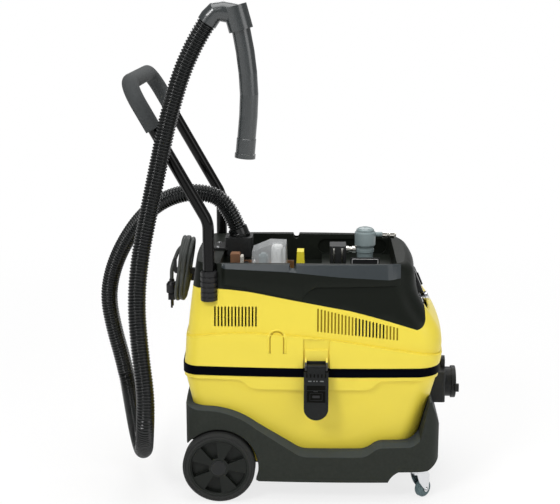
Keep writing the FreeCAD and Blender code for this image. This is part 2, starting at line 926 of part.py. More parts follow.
for low_y, depth in ((-SIDE_REACH, 9), (S.tray_half_width - 4, 5)):
    notch_low = S.tray_rim_height - depth
    rim_notches.append(rod("NotchRound", 6.5, SIDE_REACH - S.tray_half_width + 4, fore(161), low_y, notch_low, "y"))
    rim_notches.append(box(
        "NotchTop",
        (fore(154.5), fore(167.5)),
        (low_y, low_y + SIDE_REACH - S.tray_half_width + 4),
        (notch_low, S.tray_rim_height + 10),
    ))
top_tray = cut(
    "TopTray",
    fused("TrayWithPan", common("TraySkin", head_hull, tray_top_region), tray_pan),
    tray_bay,
    console_bay,
    wall_recess,
    under_tray,
    handle_channels,
    *rim_notches,
)
front_panel_seat = doc.addObject("Part::Box", "PanelSeat")
bind(front_panel_seat, Length=S.panel_top + S.panel_bottom, Width=2 * S.panel_half_width, Height=60)
TO_PANEL = Rotation(Vector(0, 1, 0), 90 - S.panel_lean.value)
node(cut("TopTrayFinished", top_tray, front_panel_seat), "top_tray")
node(cut("HeadCoverFinished", head_cover, front_panel_seat), "head_cover")


def on_panel(thing, down=0, across_y=0, out=0, turn=None):
    """Puts an object made along its own Z on the sloped front panel: down the slope, across it and out of it."""
    down, across_y, out = as_size(down), as_size(across_y), as_size(out)
    level = sine(S.panel_lean)
    upright = cosine(S.panel_lean)
    place(
        thing,
        fore(S.panel_x) + down * level + out * upright,
        across_y,
        S.panel_z - down * upright + out * level,
        TO_PANEL.multiply(turn) if turn else TO_PANEL,
    )
    if not turn:
        thing.setExpression("Placement.Rotation.Angle", "90 - Sizes.panel_lean")
    return thing


on_panel(front_panel_seat, -S.panel_top, -S.panel_half_width, -S.panel_thick)


def turned(name, profile):
    """A body turned about its own Z axis from (radius, height) corners."""
    body = new_body(name)
    revolve(body, sketch(body, "XZ", profile), "V_Axis")
    return body


def flat_plate(name, corners, low, high):
    """A prism on the XY plane between two heights, in its own frame."""
    body = new_body(name)
    pad(body, sketch(body, "XY", corners, low), as_size(high) - low)
    return body


# Tub: a container open at the top, with the bore of the hose inlet through its front wall

inlet_bore = rod("InletBore", S.inlet_bore / 2, 160, fore(S.tub_foot_front - 20), 0, S.inlet_height, "x")
node(cut("TubShell", tub_outside, tub_hollow, inlet_bore), "tub")

# Wheels: a spoked disc with five pockets, a rubber tyre and a cap pressed in the hub

FACE_RIGHT = Rotation(Vector(1, 0, 0), 90)
FACE_LEFT = Rotation(Vector(0, 0, 1), 180).multiply(FACE_RIGHT)
rim_radius = S.wheel_diameter / 2 - S.tyre_depth
hub_radius = S.hub_diameter / 2
wheel_inner = S.wheel_outer_face - S.wheel_width


def wheel_disc(name):
    body = new_body(name)
    half_axle = S.axle_diameter / 2 + S.running_gap
    profile = [
        (half_axle, 1),
        (hub_radius + 6, 1),
        (hub_radius + 8, S.wheel_width - S.pocket_depth - 8),
        (rim_radius - 7, S.wheel_width - S.pocket_depth - 8),
        (rim_radius - 5, 2),
        (rim_radius, 2),
        (rim_radius, S.wheel_width - 2),
        (rim_radius - 4, S.wheel_width - 2),
        (rim_radius - 6, S.wheel_width - 5),
        (hub_radius, S.wheel_width - 3),
        (half_axle, S.wheel_width - 3),
    ]
    revolve(body, sketch(body, "XZ", profile), "V_Axis")
    start = S.spoke_phase + S.spoke_angle / 2
    end = S.spoke_phase + 360 / S.spoke_count - S.spoke_angle / 2
    inner = hub_radius + 4
    outer = rim_radius - 7
    pocket_sketch = sketch(body, "XY", [
        (inner * cosine(start), inner * sine(start)),
        (outer * cosine(start), outer * sine(start), outer),
        (outer * cosine(end), outer * sine(end)),
        (inner * cosine(end), inner * sine(end), -inner),
    ], S.wheel_width)
    hollow = pocket(body, pocket_sketch, S.pocket_depth)
    ring = body.newObject("PartDesign::PolarPattern", name + "Pockets")
    ring.Originals = [hollow]
    ring.Axis = (pocket_sketch, ["N_Axis"])
    ring.Angle = 360
    ring.Occurrences = int(S.spoke_count.value)
    ring.setExpression("Occurrences", S.spoke_count.formula)
    body.Tip = ring
    return body


for side, word, facing in ((-1, "right", FACE_RIGHT), (1, "left", FACE_LEFT)):
    tyre_radius = S.wheel_diameter / 2
    tyre = turned("Tyre", [
        (rim_radius, 1),
        (tyre_radius - 4, 0),
        (tyre_radius, 5),
        (tyre_radius, S.wheel_width - 5),
        (tyre_radius - 4, S.wheel_width),
        (tyre_radius - 6, S.wheel_width),
        (tyre_radius - 7, S.wheel_width - 1),
        (tyre_radius - 8, S.wheel_width),
        (rim_radius, S.wheel_width - 1),
    ])
    cap = turned("HubCap", [
        (0, S.wheel_width - 5),
        (S.axle_diameter / 2, S.wheel_width - 5),
        (S.axle_diameter / 2, S.wheel_width - 3),
        (hub_radius - 1, S.wheel_width - 3),
        (hub_radius - 1, S.wheel_width - 1),
        (hub_radius - 3, S.wheel_width),
        (0, S.wheel_width),
    ])
    for thing, label in ((wheel_disc("Wheel"), "wheel_"), (tyre, "tyre_"), (cap, "hub_cap_")):
        place(thing, S.axle_x, side * wheel_inner, S.wheel_diameter / 2, facing)
        node(thing, label + word)

axle_half = S.wheel_outer_face - 6
node(rod("RearAxle", S.axle_diameter / 2, 2 * axle_half, S.axle_x, -axle_half, S.wheel_diameter / 2, "y"), "rear_axle")

# Casters: a flanged stem in the chassis, a fork that turns on its pivot and a small wheel on an axle


def caster_fork(name):
    body = new_body(name)
    half = S.caster_width / 2 + S.caster_gap + S.caster_fork_wall
    middle = S.caster_diameter / 2
    trail = S.caster_trail
    side_view = [
        (-13, S.caster_fork_top),
        (-13, S.caster_fork_top - 6, 70),
        (trail - 7, middle + 2),
        (trail - 7, middle, 7.02),
        (trail + 7, middle),
        (trail + 9, S.caster_fork_top - 16, 12),
        (15, S.caster_fork_top - 4),
        (13, S.caster_fork_top),
    ]
    pad(body, sketch(body, "XZ", side_view), 2 * half, both_ways=True)
    inside = S.caster_width / 2 + S.caster_gap
    channel = [
        (-inside, 0),
        (inside, 0),
        (inside, S.caster_fork_top - 6, 3),
        (inside - 3, S.caster_fork_top - 3),
        (3 - inside, S.caster_fork_top - 3, 3),
        (-inside, S.caster_fork_top - 6),
    ]
    pocket(body, sketch(body, "YZ", channel), 120, both_ways=True)
    pivot = circle_sketch(body, "XY", 0, 0, S.caster_pivot_diameter / 2 + S.running_gap, S.caster_fork_top + 1)
    pocket(body, pivot, 20)
    pin = circle_sketch(body, "XZ", trail, middle, S.caster_pin_diameter / 2)
    pocket(body, pin, 4 * half, both_ways=True)
    return body


caster_plates = []
for side, word in ((-1, "right"), (1, "left")):
    turn = Rotation(Vector(0, 0, -side), S.caster_turn.value)
    plate_low = S.arch_height - S.caster_plate_thick
    plate = turned("CasterPlate", [
        (0, S.caster_fork_top - 6),
        (S.caster_pivot_diameter / 2 + 2, S.caster_fork_top - 6),
        (S.caster_pivot_diameter / 2 + 2, S.caster_fork_top - 3.3),
        (S.caster_pivot_diameter / 2, S.caster_fork_top - 3.3),
        (S.caster_pivot_diameter / 2, plate_low),
        (S.caster_plate_diameter / 2 - 1, plate_low),
        (S.caster_plate_diameter / 2, plate_low + 1),
        (S.caster_plate_diameter / 2, S.arch_height),
        (S.caster_stem_diameter / 2, S.arch_height),
        (S.caster_stem_diameter / 2, S.arch_height + S.caster_stem_height - 2),
        (0, S.arch_height + S.caster_stem_height - 2),
    ])
    caster_plates.append(place(plate, fore(S.caster_x), side * S.caster_y, 0))
    wheel_x = S.caster_trail * cosine(S.caster_turn)
    wheel_y = S.caster_trail * sine(S.caster_turn)
    middle = S.caster_diameter / 2
    half = S.caster_width / 2
    pin_half = half + S.caster_gap + S.caster_fork_wall
    fork = caster_fork("CasterFork")
    place(fork, fore(S.caster_x), side * S.caster_y, 0, turn)
    fork.setExpression("Placement.Rotation.Angle", "Sizes.caster_turn")
    upright_turn = turn.multiply(ALONG["y"])
    wheel = turned("CasterWheel", [
        (S.caster_pin_diameter / 2 + S.running_gap, -half),
        (middle - 6, -half),
        (middle - 5, 1 - half),
        (middle - 2, 1 - half),
        (middle, 4 - half),
        (middle, half - 4),
        (middle - 2, half - 1),
        (middle - 5, half - 1),
        (middle - 6, half),
        (S.caster_pin_diameter / 2 + S.running_gap, half),
    ])
    axle = turned("CasterAxle", [
        (0, -pin_half - 1.5),
        (S.caster_pin_diameter / 2 + 1.5, -pin_half - 1.5),
        (S.caster_pin_diameter / 2 + 2, -pin_half),
        (S.caster_pin_diameter / 2, -pin_half),
        (S.caster_pin_diameter / 2, pin_half),
        (S.caster_pin_diameter / 2 + 2, pin_half),
        (S.caster_pin_diameter / 2 + 1.5, pin_half + 1.5),
        (0, pin_half + 1.5),
    ])
    node(fork, "caster_fork_" + word)
    for thing, label in ((wheel, "caster_wheel_"), (axle, "caster_axle_")):
        place(thing, fore(S.caster_x) + wheel_x, side * (S.caster_y - wheel_y), middle, upright_turn)
        node(thing, label + word)

node(together("CasterPlates", *caster_plates), "caster_plates")

# Latches: a bracket on the head, a pin, and a lever whose nib hooks under the rim of the tub

def latch_bracket(name):
    body = new_body(name)
    ear = 8
    back = S.latch_recess_y
    side_view = [
        (-back - 3, S.latch_pin_height + 34),
        (-back, S.latch_pin_height + 36),
        (-back, SEAL_TOP + 1),
        (-back - 3, SEAL_TOP + 1),
        (-back - 3, S.latch_pin_height - ear + 1),
        (-S.latch_pin_y, S.latch_pin_height - ear, -ear - 0.02),
        (-S.latch_pin_y, S.latch_pin_height + ear),
        (-back - 3, S.latch_pin_height + ear + 10),
    ]
    pad(body, sketch(body, "YZ", side_view), S.latch_width - 4, both_ways=True)
    between = [
        (-back - 3, 0),
        (-back - 3, S.tray_rim_height),
        (-2 * S.latch_pin_y, S.tray_rim_height),
        (-2 * S.latch_pin_y, 0),
    ]
    pocket(body, sketch(body, "YZ", between), S.latch_width - 12, both_ways=True)
    pin = circle_sketch(body, "YZ", -S.latch_pin_y, S.latch_pin_height, S.latch_pin_diameter / 2)
    pocket(body, pin, 2 * S.latch_width, both_ways=True)
    return body


def latch_lever(name):
    body = new_body(name)
    inner = S.latch_pin_y - S.latch_thick / 2
    outer = inner + S.latch_thick
    half = S.latch_width / 2
    top = S.latch_pin_height - 9
    plate = [
        (-half, top),
        (-half, S.latch_low + half, half + 0.02),
        (half, S.latch_low + half),
        (half, top),
    ]
    pad(body, sketch(body, "XZ", plate, inner), S.latch_thick)
    barrel_half = half - 7
    neck = [
        (-inner, top - 6),
        (-outer, top - 6),
        (-S.latch_pin_y - S.latch_barrel, S.latch_pin_height, -S.latch_barrel - 0.02),
        (-S.latch_pin_y + S.latch_barrel, S.latch_pin_height),
    ]
    pad(body, sketch(body, "YZ", neck), 2 * barrel_half, both_ways=True)
    nib = [
        (-inner - 1, S.rim_line_low - 16),
        (-S.nib_reach, S.rim_line_low - 4),
        (-S.nib_reach, S.rim_line_low - 0.2),
        (-inner - 1, S.rim_line_low - 0.2),
    ]
    pad(body, sketch(body, "YZ", nib), S.nib_width, both_ways=True)
    window = rounded(-S.window_width / 2, S.window_width / 2, S.rim_line_low - 14, S.rim_line_low - 1, 2)
    pocket(body, sketch(body, "XZ", window, outer), S.latch_thick - 3, reverse=True)
    pin = circle_sketch(body, "YZ", -S.latch_pin_y, S.latch_pin_height, S.latch_pin_diameter / 2 + S.running_gap)
    pocket(body, pin, 2 * S.latch_width, both_ways=True)
    return body


latch_pins = []
latch_brackets = []
for word, turn in (("right", Rotation()), ("left", Rotation(Vector(0, 0, 1), 180))):
    pin_half = S.latch_width / 2 - 1.5
    sign = -1 if word == "right" else 1
    pin = rod(
        "LatchPin",
        S.latch_pin_diameter / 2,
        2 * pin_half,
        fore(S.latch_x) - pin_half,
        sign * S.latch_pin_y,
        S.latch_pin_height,
        "x",
    )
    latch_brackets.append(place(latch_bracket("LatchBracket"), fore(S.latch_x), 0, 0, turn))
    node(place(latch_lever("LatchLever"), fore(S.latch_x), 0, 0, turn), "latch_lever_" + word)
    latch_pins.append(pin)
node(together("LatchPins", *latch_pins), "latch_pins")
node(together("LatchBrackets", *latch_brackets), "latch_brackets")

# Hose inlet: a housing on the tub's front with a round spigot, and a cap hinged beside it

inlet_block = flat_plate("InletBlock", rounded(
    fore(S.tub_foot_front), fore(S.inlet_face), -S.inlet_half_width, S.inlet_half_width, 6,
), S.inlet_low, S.inlet_high)
lug = new_body("InletLug")
pad(lug, sketch(lug, "YZ", [
    (-15, S.inlet_high - 12),
    (15, S.inlet_high - 12),
    (15, S.lug_top - 15, 15.02),
    (-15, S.lug_top - 15),
], fore(S.inlet_face - 8)), 9)
hinge_x = fore(S.spigot_end - S.cap_skirt - 1)
hinge_ears = []
for low in (S.inlet_height - 10, S.inlet_height + 6.3):
    hinge_ears.append(flat_plate("HingeEar", [
        (fore(S.inlet_face - 6), S.cap_hinge_y - S.hinge_radius),
        (hinge_x, S.cap_hinge_y - S.hinge_radius, S.hinge_radius + 0.02),
        (hinge_x, S.cap_hinge_y + S.hinge_radius),
        (fore(S.inlet_face - 6), S.cap_hinge_y + S.hinge_radius),
    ], low, low + 3.7))
inlet_housing = cut(
    "InletHousing",
    fused("InletSolid", inlet_block, lug, *hinge_ears, rod(
        "Spigot",
        S.spigot_diameter / 2,
        S.spigot_end - S.tub_foot_front - 20,
        fore(S.tub_foot_front + 20),
        0,
        S.inlet_height,
        "x",
    )),
    shell_loft("InletTubSeat", tub_taper(0), ruled=True),
    rim_band,
    plan_prism("InletSealSeat", S.tub_rear - 2, S.tub_front + 2, S.tub_half_width + 10, S.tub_rim_height, SEAL_TOP),
    rod("InletHole", S.inlet_bore / 2, 160, fore(S.tub_foot_front - 20), 0, S.inlet_height, "x"),
    rod("HingeBore", S.hinge_pin_radius + S.running_gap, 30, hinge_x, S.cap_hinge_y, S.inlet_height - 15),
)
node(inlet_housing, "inlet_housing")

cap_outer = S.spigot_diameter / 2 + S.slide_gap + S.cap_wall
cap = turned("InletCap", [
    (0, S.slide_gap),
    (S.spigot_diameter / 2 + S.slide_gap, S.slide_gap),
    (S.spigot_diameter / 2 + S.slide_gap, -S.cap_skirt),
    (cap_outer, -S.cap_skirt),
    (cap_outer, S.cap_disc - 1),
    (cap_outer - 1, S.cap_disc),
    (0, S.cap_disc),
])
place(cap, fore(S.spigot_end), 0, S.inlet_height, ALONG["x"])
cap_arm = box(
    "CapArm",
    (hinge_x - 2, fore(S.spigot_end + 2)),
    (cap_outer - 1.5, S.cap_hinge_y),
    (S.inlet_height - 6, S.inlet_height + 6),
)
cap_tab = box(
    "CapTab",
    (fore(S.spigot_end + S.slide_gap), fore(S.spigot_end + 9.4)),
    (-cap_outer - 7, 2 - cap_outer),
    (S.inlet_height - 10, S.inlet_height + 7),
)
cap_barrel = rod("CapBarrel", S.hinge_radius, 12, hinge_x, S.cap_hinge_y, S.inlet_height - 6)
cap_pin = rod("CapPin", S.hinge_pin_radius, 19.4, hinge_x, S.cap_hinge_y, S.inlet_height - 9.7)
node(fused("InletCapWithArm", cap, cap_arm, cap_tab, cap_barrel, cap_pin), "inlet_cap")

# Handle: two upright legs that lean back above a knee, joined by a crossbar with a foam grip

knee_run = S.knee_radius * sine(S.handle_lean) / (1 + cosine(S.handle_lean))
lean_x = fore(S.leg_x) - S.knee_radius * (1 - cosine(S.handle_lean))
lean_z = S.knee_height - knee_run + S.knee_radius * sine(S.handle_lean)
CORNER_TURNS = {
    1: Rotation(Vector(1, 1, 1), 120),
    -1: Rotation(Vector(0, 0, 1), 180).multiply(Rotation(Vector(1, 1, 1), 120)),
}


def torus_part(name, bend, radius, angle, x, y, z, turn):
    """A bent length of round bar: its centre line runs on a circle of radius bend through an angle."""
    made = doc.addObject("Part::Torus", name)
    bind(made, Radius1=bend, Radius2=radius, Angle3=angle)
    return place(made, x, y, z, turn)


def bow(name, radius, low):
    """The leaning part of the handle from a distance above the knee, round both corners and the crossbar."""
    length = S.bow_length - S.bow_corner
    half = S.leg_y - S.bow_corner
    parts = []
    for side in (-1, 1):
        parts.append(rod(name + "Leg", radius, length - low, 0, side * S.leg_y, low))
        parts.append(torus_part(name + "Corner", S.bow_corner, radius, 90, 0, side * half, length, CORNER_TURNS[side]))
    parts.append(rod(name + "Bar", radius, 2 * half, 0, -half, S.bow_length, "y"))
    made = fused(name, *parts)
    place(made, lean_x, 0, lean_z, Rotation(Vector(0, -1, 0), S.handle_lean.value))
    made.setExpression("Placement.Rotation.Angle", S.handle_lean.formula)
    return made


def handle_bar(name, radius, low):
    legs = []
    for side in (-1, 1):
        legs.append(rod(name + "Leg", radius, S.knee_height - knee_run - low, fore(S.leg_x), side * S.leg_y, low))
        legs.append(torus_part(
            name + "Knee",
            S.knee_radius,
            radius,
            S.handle_lean,
            fore(S.leg_x) - S.knee_radius,
            side * S.leg_y,
            S.knee_height - knee_run,
            Rotation(Vector(1, 0, 0), 90),
        ))
    return fused(name, *legs, bow(name + "Bow", radius, as_size(0)))


tube_radius = S.tube_diameter / 2
handle_solid = handle_bar("HandleSolid", tube_radius, S.sleeve_low + 2)
handle_tube = cut("HandleTube", handle_solid, handle_bar("HandleInside", tube_radius - S.tube_wall, S.sleeve_low + 2))
node(handle_tube, "handle_tube")
grip = cut(
    "HandleGrip",
    bow("GripOutside", S.grip_diameter / 2, S.grip_low),
    bow("GripInside", tube_radius, S.grip_low),
)
node(grip, "handle_grip")


def sleeve(name):
    """A rubber sleeve with raised rings that grips the foot of a handle leg."""
    outer = S.sleeve_diameter / 2
    pitch = (S.sleeve_high - S.sleeve_low) / 6
    corners = [(tube_radius, 0), (outer, 0)]
    for i in range(6):
        corners.append((outer, (i + 0.72) * pitch))
        corners.append((outer - 1.6, (i + 0.78) * pitch))
        corners.append((outer - 1.6, (i + 0.92) * pitch))
        if i < 5:
            corners.append((outer, (i + 0.98) * pitch))
    corners.append((tube_radius, 5.92 * pitch))
    return turned(name, corners)


node(together("Sleeves", *[
    place(sleeve("Sleeve"), fore(S.leg_x), side * S.leg_y, S.sleeve_low) for side in (-1, 1)
]), "handle_sleeves")

# Motor head: a plate on the seal with the motor housing on top and the pleated filter below

plate = plan_prism(
    "MotorPlate", S.head_rear, S.head_front, S.head_half_width, SEAL_TOP, SEAL_TOP + S.motor_plate_thick, S.head_wall + 1.5,
)
plate_top = SEAL_TOP + S.motor_plate_thick
shaft_radius = S.shaft_diameter / 2
node(cut("MotorPlateBored", plate, rod("AirHole", S.eye_radius, 60, fore(S.motor_x), 0, SEAL_TOP - 20)), "motor_plate")
motor = turned("MotorHousing", [
    (S.motor_radius - 3, 0),
    (S.motor_radius, 0),
    (S.motor_radius, S.motor_height - 8),
    (S.motor_radius - 8, S.motor_height),
    (shaft_radius + S.running_gap, S.motor_height),
    (shaft_radius + S.running_gap, S.motor_height - 12),
    (S.motor_radius - 3, S.motor_height - 12),
])
node(place(motor, fore(S.motor_x), 0, plate_top), "motor_housing")


def impeller(name):
    body = new_body(name)
    radius = S.impeller_radius
    profile = [
        (0, 2),
        (radius, 2),
        (radius, 5),
        (24, 5),
        (14, 16),
        (shaft_radius, 18),
        (shaft_radius, S.motor_height - 2),
        (0, S.motor_height - 2),
    ]
    revolve(body, sketch(body, "XZ", profile), "V_Axis")
    blade = sketch(body, "XY", [
        (18, -2),
        (radius - 3, 8, -80),
        (radius - 3, 10.5),
        (18, 0.5, 80),
    ], 4)
    blade = pad(body, blade, 12)
    ring = body.newObject("PartDesign::PolarPattern", name + "Blades")
    ring.Originals = [blade]
    ring.Axis = (blade.Profile[0], ["N_Axis"])
    ring.Angle = 360
    ring.Occurrences = int(S.blade_count.value)
    ring.setExpression("Occurrences", S.blade_count.formula)
    body.Tip = ring
    return body


node(place(impeller("Impeller"), fore(S.motor_x), 0, plate_top), "fan_impeller")


def filter_cartridge(name):
    """A ring of pleats between two end caps."""
    body = new_body(name)
    outer = S.filter_radius
    inner = outer - 16
    count = int(S.pleat_count.value)
    corners = []
    for i in range(count):
        angle = 360 * i / S.pleat_count
        next_angle = 360 * (i + 0.5) / S.pleat_count
        corners.append(((outer - 3) * cosine(angle), (outer - 3) * sine(angle)))
        corners.append((inner * cosine(next_angle), inner * sine(next_angle)))
    pad(body, sketch(body, "XY", corners, 4), S.filter_height - 8)
    low_cap = circle_sketch(body, "XY", 0, 0, outer)
    pad(body, low_cap, 6)
    high_cap = circle_sketch(body, "XY", 0, 0, outer, S.filter_height - 6)
    pad(body, high_cap, 6)
    inside = circle_sketch(body, "XY", 0, 0, inner - 4, 4)
    pocket(body, inside, S.filter_height, reverse=True)
    return body


node(place(filter_cartridge("Filter"), fore(S.motor_x), 0, SEAL_TOP - S.filter_height), "filter_cartridge")

# Front panel: a socket with a sprung lid, an air coupling, a rotary switch and a suction dial

panel_plate = flat_plate("FrontPanel", rounded(
    2 - S.panel_top, S.panel_bottom - 2, 2 - S.panel_half_width, S.panel_half_width - 2, 12,
), -S.panel_thick, 0)

lid_half = S.lid_size / 2


def socket_body(name):
    body = new_body(name)
    outline = rounded(-lid_half, lid_half, -lid_half, lid_half, 9)
    pad(body, sketch(body, "XY", outline), S.socket_height)
    recess = circle_sketch(body, "XY", 0, 0, lid_half - 5, S.socket_height)
    pocket(body, recess, S.socket_height - 2)
    for pin_y in (-9.5, 9.5):
        hole = circle_sketch(body, "XY", 0, pin_y, 2.4, 2)
        pocket(body, hole, 1.5)
    knuckle = sketch(body, "XZ", [
        (-lid_half - 6.3, 0),
        (2 - lid_half, 0),
        (2 - lid_half, S.socket_height - 0.5),
        (0.3 - lid_half, S.socket_height - 0.5),
        (0.3 - lid_half, S.socket_height, 3.32),
        (-lid_half - 6.3, S.socket_height),
    ])
    pad(body, knuckle, 2 * lid_half - 24, both_ways=True)
    bore = circle_sketch(body, "XZ", -lid_half - 3, S.socket_height, S.lid_pin_diameter / 2)
    pocket(body, bore, 4 * lid_half, both_ways=True)
    return body


def socket_lid(name):
    """A lid hinged above the socket, with two ears outside the hinge knuckle."""
    body = new_body(name)
    low = S.socket_height + 0.4
    outline = rounded(0.6 - lid_half, lid_half + 3, -lid_half - 1, lid_half + 1, 10)
    pad(body, sketch(body, "XY", outline, low), 4)
    for side in (-1, 1):
        ear = sketch(body, "XZ", [
            (2 - lid_half, S.socket_height + 4.4),
            (-lid_half - 3, S.socket_height + 2.82, 2.84),
            (-lid_half - 3, S.socket_height - 2.82),
            (-lid_half - 0.3, S.socket_height),
            (-lid_half - 0.3, low),
            (2 - lid_half, low),
        ], -side * (lid_half - 7))
        pad(body, ear, 4.6, reverse=side > 0)
    bore = circle_sketch(body, "XZ", -lid_half - 3, S.socket_height, S.lid_pin_diameter / 2 + S.running_gap)
    pocket(body, bore, 4 * lid_half, both_ways=True)
    return body


node(on_panel(socket_body("SocketBody"), S.socket_down, S.socket_y), "socket_body")
node(on_panel(socket_lid("SocketLid"), S.socket_down, S.socket_y), "socket_lid")
lid_pin = rod("LidPin", S.lid_pin_diameter / 2, 2 * lid_half - 14, 0, 0, 0)
on_panel(lid_pin, S.socket_down - lid_half - 3, S.socket_y - lid_half + 7, S.socket_height, ALONG["y"])
node(lid_pin, "socket_lid_pin")

coupling = turned("AirCoupling", [
    (4, 0),
    (11, 0),
    (11, 4),
    (9, 5),
    (9, 12),
    (10.5, 13),
    (10.5, 19),
    (9.5, 20),
    (4, 20),
])
node(on_panel(coupling, S.coupling_down, S.coupling_y), "air_coupling")

knob_post = turned("SwitchBase", [
    (0, -1),
    (S.knob_radius + 3, -1),
    (S.knob_radius + 2, 2),
    (4, 2),
    (4, 8),
    (0, 8),
])
place(knob_post, S.switch_down, S.switch_y)


def pointer_knob(name):
    """A round knob with a raised grip bar across its face."""
    body = new_body(name)
    skirt = [
        (4 + S.running_gap, 2.3),
        (S.knob_radius, 2.3),
        (S.knob_radius - 1.5, 9),
        (0, 9),
        (0, 8.2),
        (4 + S.running_gap, 8.2),
    ]
    revolve(body, sketch(body, "XZ", skirt), "V_Axis")
    bar = rounded(1 - S.knob_radius, S.knob_radius - 1, -3.5, 3.5, 3)
    pad(body, sketch(body, "XY", bar, 8.5), 8)
    return body


node(on_panel(pointer_knob("PowerSwitch"), S.switch_down, S.switch_y), "power_switch")
dial_post = turned("DialBase", [
    (0, -1),
    (S.dial_radius + 2, -1),
    (S.dial_radius + 1, 1.5),
    (4, 1.5),
    (4, 7),
    (0, 7),
])
place(dial_post, S.dial_down, S.dial_y)
node(on_panel(fused("PanelWithPosts", panel_plate, knob_post, dial_post)), "front_panel")


def fluted_dial(name):
    """A round dial with flutes round its edge."""
    body = new_body(name)
    profile = [
        (4 + S.running_gap, 1.8),
        (S.dial_radius, 1.8),
        (S.dial_radius - 1, 12),
        (S.dial_radius - 4, 13),
        (0, 13),
        (0, 7.2),
        (4 + S.running_gap, 7.2),
    ]
    revolve(body, sketch(body, "XZ", profile), "V_Axis")
    flute_at = circle_sketch(body, "XY", S.dial_radius + 1, 0, 2.2, 20)
    flute = pocket(body, flute_at, 17)
    ring = body.newObject("PartDesign::PolarPattern", name + "Flutes")
    ring.Originals = [flute]
    ring.Axis = (body.Origin.OriginFeatures[2], [""])
    ring.Angle = 360
    ring.Occurrences = int(S.flute_count.value)
    ring.setExpression("Occurrences", S.flute_count.formula)
    body.Tip = ring
    return body


node(on_panel(fluted_dial("SuctionDial"), S.dial_down, S.dial_y), "suction_dial")

# Tray items: the air service unit with its couplers, the valve box, and the pack of accessories

console = S.console_height
unit = turned("AirUnit", [
    (0, 0),
    (14, 0),
    (14, 14),
    (18, 18),
    (18, 52),
    (20, 54),
    (20, 60),
    (18.5, 61),
    (18.5, 64),
    (S.unit_radius, 70),
    (S.unit_radius, 97),
    (S.unit_radius - 2, 100),
    (4, 100),
    (4, 105),
    (0, 105),
])
place(unit, fore(S.unit_x), S.unit_y, console)
unit_arm = rod("AirUnitArm", 5, S.coupler_x - S.unit_x, fore(S.unit_x), S.unit_y, console + S.coupler_rise, "x")
regulator = turned("Regulator", [
    (4 + S.running_gap, 100.3),
    (20, 100.3),
    (19.5, 103.5),
    (15, 107),
    (8, 109),
    (0, 109.5),
    (0, 105.3),
    (4 + S.running_gap, 105.3),
])
node(place(regulator, fore(S.unit_x), S.unit_y, console), "regulator_knob")
unit_base = flat_plate("UnitBasePlate", rounded(
    fore(S.unit_x) - S.unit_radius - 8,
    fore(S.unit_x) + S.unit_radius + 8,
    S.unit_y - S.unit_radius - 8,
    S.unit_y + S.unit_radius + 8,
    8,
), console, console + 6)
node(fused("AirUnitBody", unit, unit_arm, unit_base), "air_unit")
unit_screws = []
for sx, sy in ((-1, -1), (1, -1), (-1, 1), (1, 1)):
    corner = S.unit_radius + 2
    screw = turned("UnitScrew", [(0, 0), (4, 0), (3, 2.4), (1.5, 2.4), (1.5, 1.2), (0, 1.2)])
    place(screw, fore(S.unit_x) + sx * corner, S.unit_y + sy * corner, console + 6)
    unit_screws.append(screw)
node(together("UnitScrews", *unit_screws), "unit_screws")

coupler = turned("Coupler", [
    (3, 0),
    (9, 0),
    (9, 10),
    (6, 10.5),
    (6, 15.5),
    (9, 16),
    (9, 26),
    (5, 26.5),
    (5, 30),
    (3, 30),
])
node(place(coupler, fore(S.coupler_x), S.unit_y, console + S.coupler_rise, ALONG["x"]), "air_couplers")

valve_box = fused(
    "ValveBox",
    flat_plate("ValveBoxBody", rounded(fore(S.valve_x), fore(S.valve_x + 36), S.valve_y - 24, S.valve_y + 24, 3), console, console + 72),
    flat_plate("ValveBoxFoot", rounded(fore(S.valve_x - 5), fore(S.valve_x + 41), S.valve_y - 28, S.valve_y + 28, 3), console, console + 5),
)
node(valve_box, "valve_box")
fitting = turned("Fitting", [(3, 0), (7.5, 0), (7.5, 6), (6, 7), (6, 13), (7.5, 14), (7.5, 21.6), (3, 21.6)])
place(fitting, fore(S.valve_x + 36), S.unit_y, console + 58, ALONG["x"])
ribs = [
    box("ValveRib", (fore(S.valve_x + x), fore(S.valve_x + x + 4)), (S.valve_y - 26, S.valve_y - 24), (console + 16, console + 68))
    for x in (7, 25)
]
node(together("Fittings", fitting, *ribs), "valve_fittings")

floor = S.tray_floor_height
blister = across("Blister", [
    (fore(68), floor),
    (fore(148), floor),
    (fore(144), floor + 91),
    (fore(108), floor + 92),
    (fore(70), floor + 76),
], 32)
node(place(blister, 0, S.blister_y, 0), "accessory_blister")
node(box("Card", (fore(20), fore(160)), (S.blister_y + 34, S.blister_y + 36), (floor, floor + 42)), "accessory_card")
wedge = across("Wedge", [
    (fore(165), floor),
    (fore(187), floor),
    (fore(183), floor + 74),
    (fore(168), floor + 74),
], 17)
node(place(wedge, 0, S.blister_y, 0), "accessory_wedge")

# Rear: the cable hook, the gland the mains cable comes out of, its lead, the hank and the plug

hook = across("CableHook", [
    (fore(-52), S.hook_height - 20),
    (fore(-52), S.hook_height + 10),
    (fore(-63), S.hook_height + 6),
    (fore(-63), S.hook_height),
    (fore(S.hook_end) + 6, S.hook_height),
    (fore(S.hook_end) + 6, S.hook_height + 22, 3.02),
    (fore(S.hook_end), S.hook_height + 22),
    (fore(S.hook_end), S.hook_height - 6, 6),
    (fore(S.hook_end) + 6, S.hook_height - 12),
    (fore(-63), S.hook_height - 12),
    (fore(-63), S.hook_height - 20),
], S.hook_half_width)
hook_seat = hull("HookSeat")
node(cut("CableHookFitted", hook, hook_seat), "cable_hook")

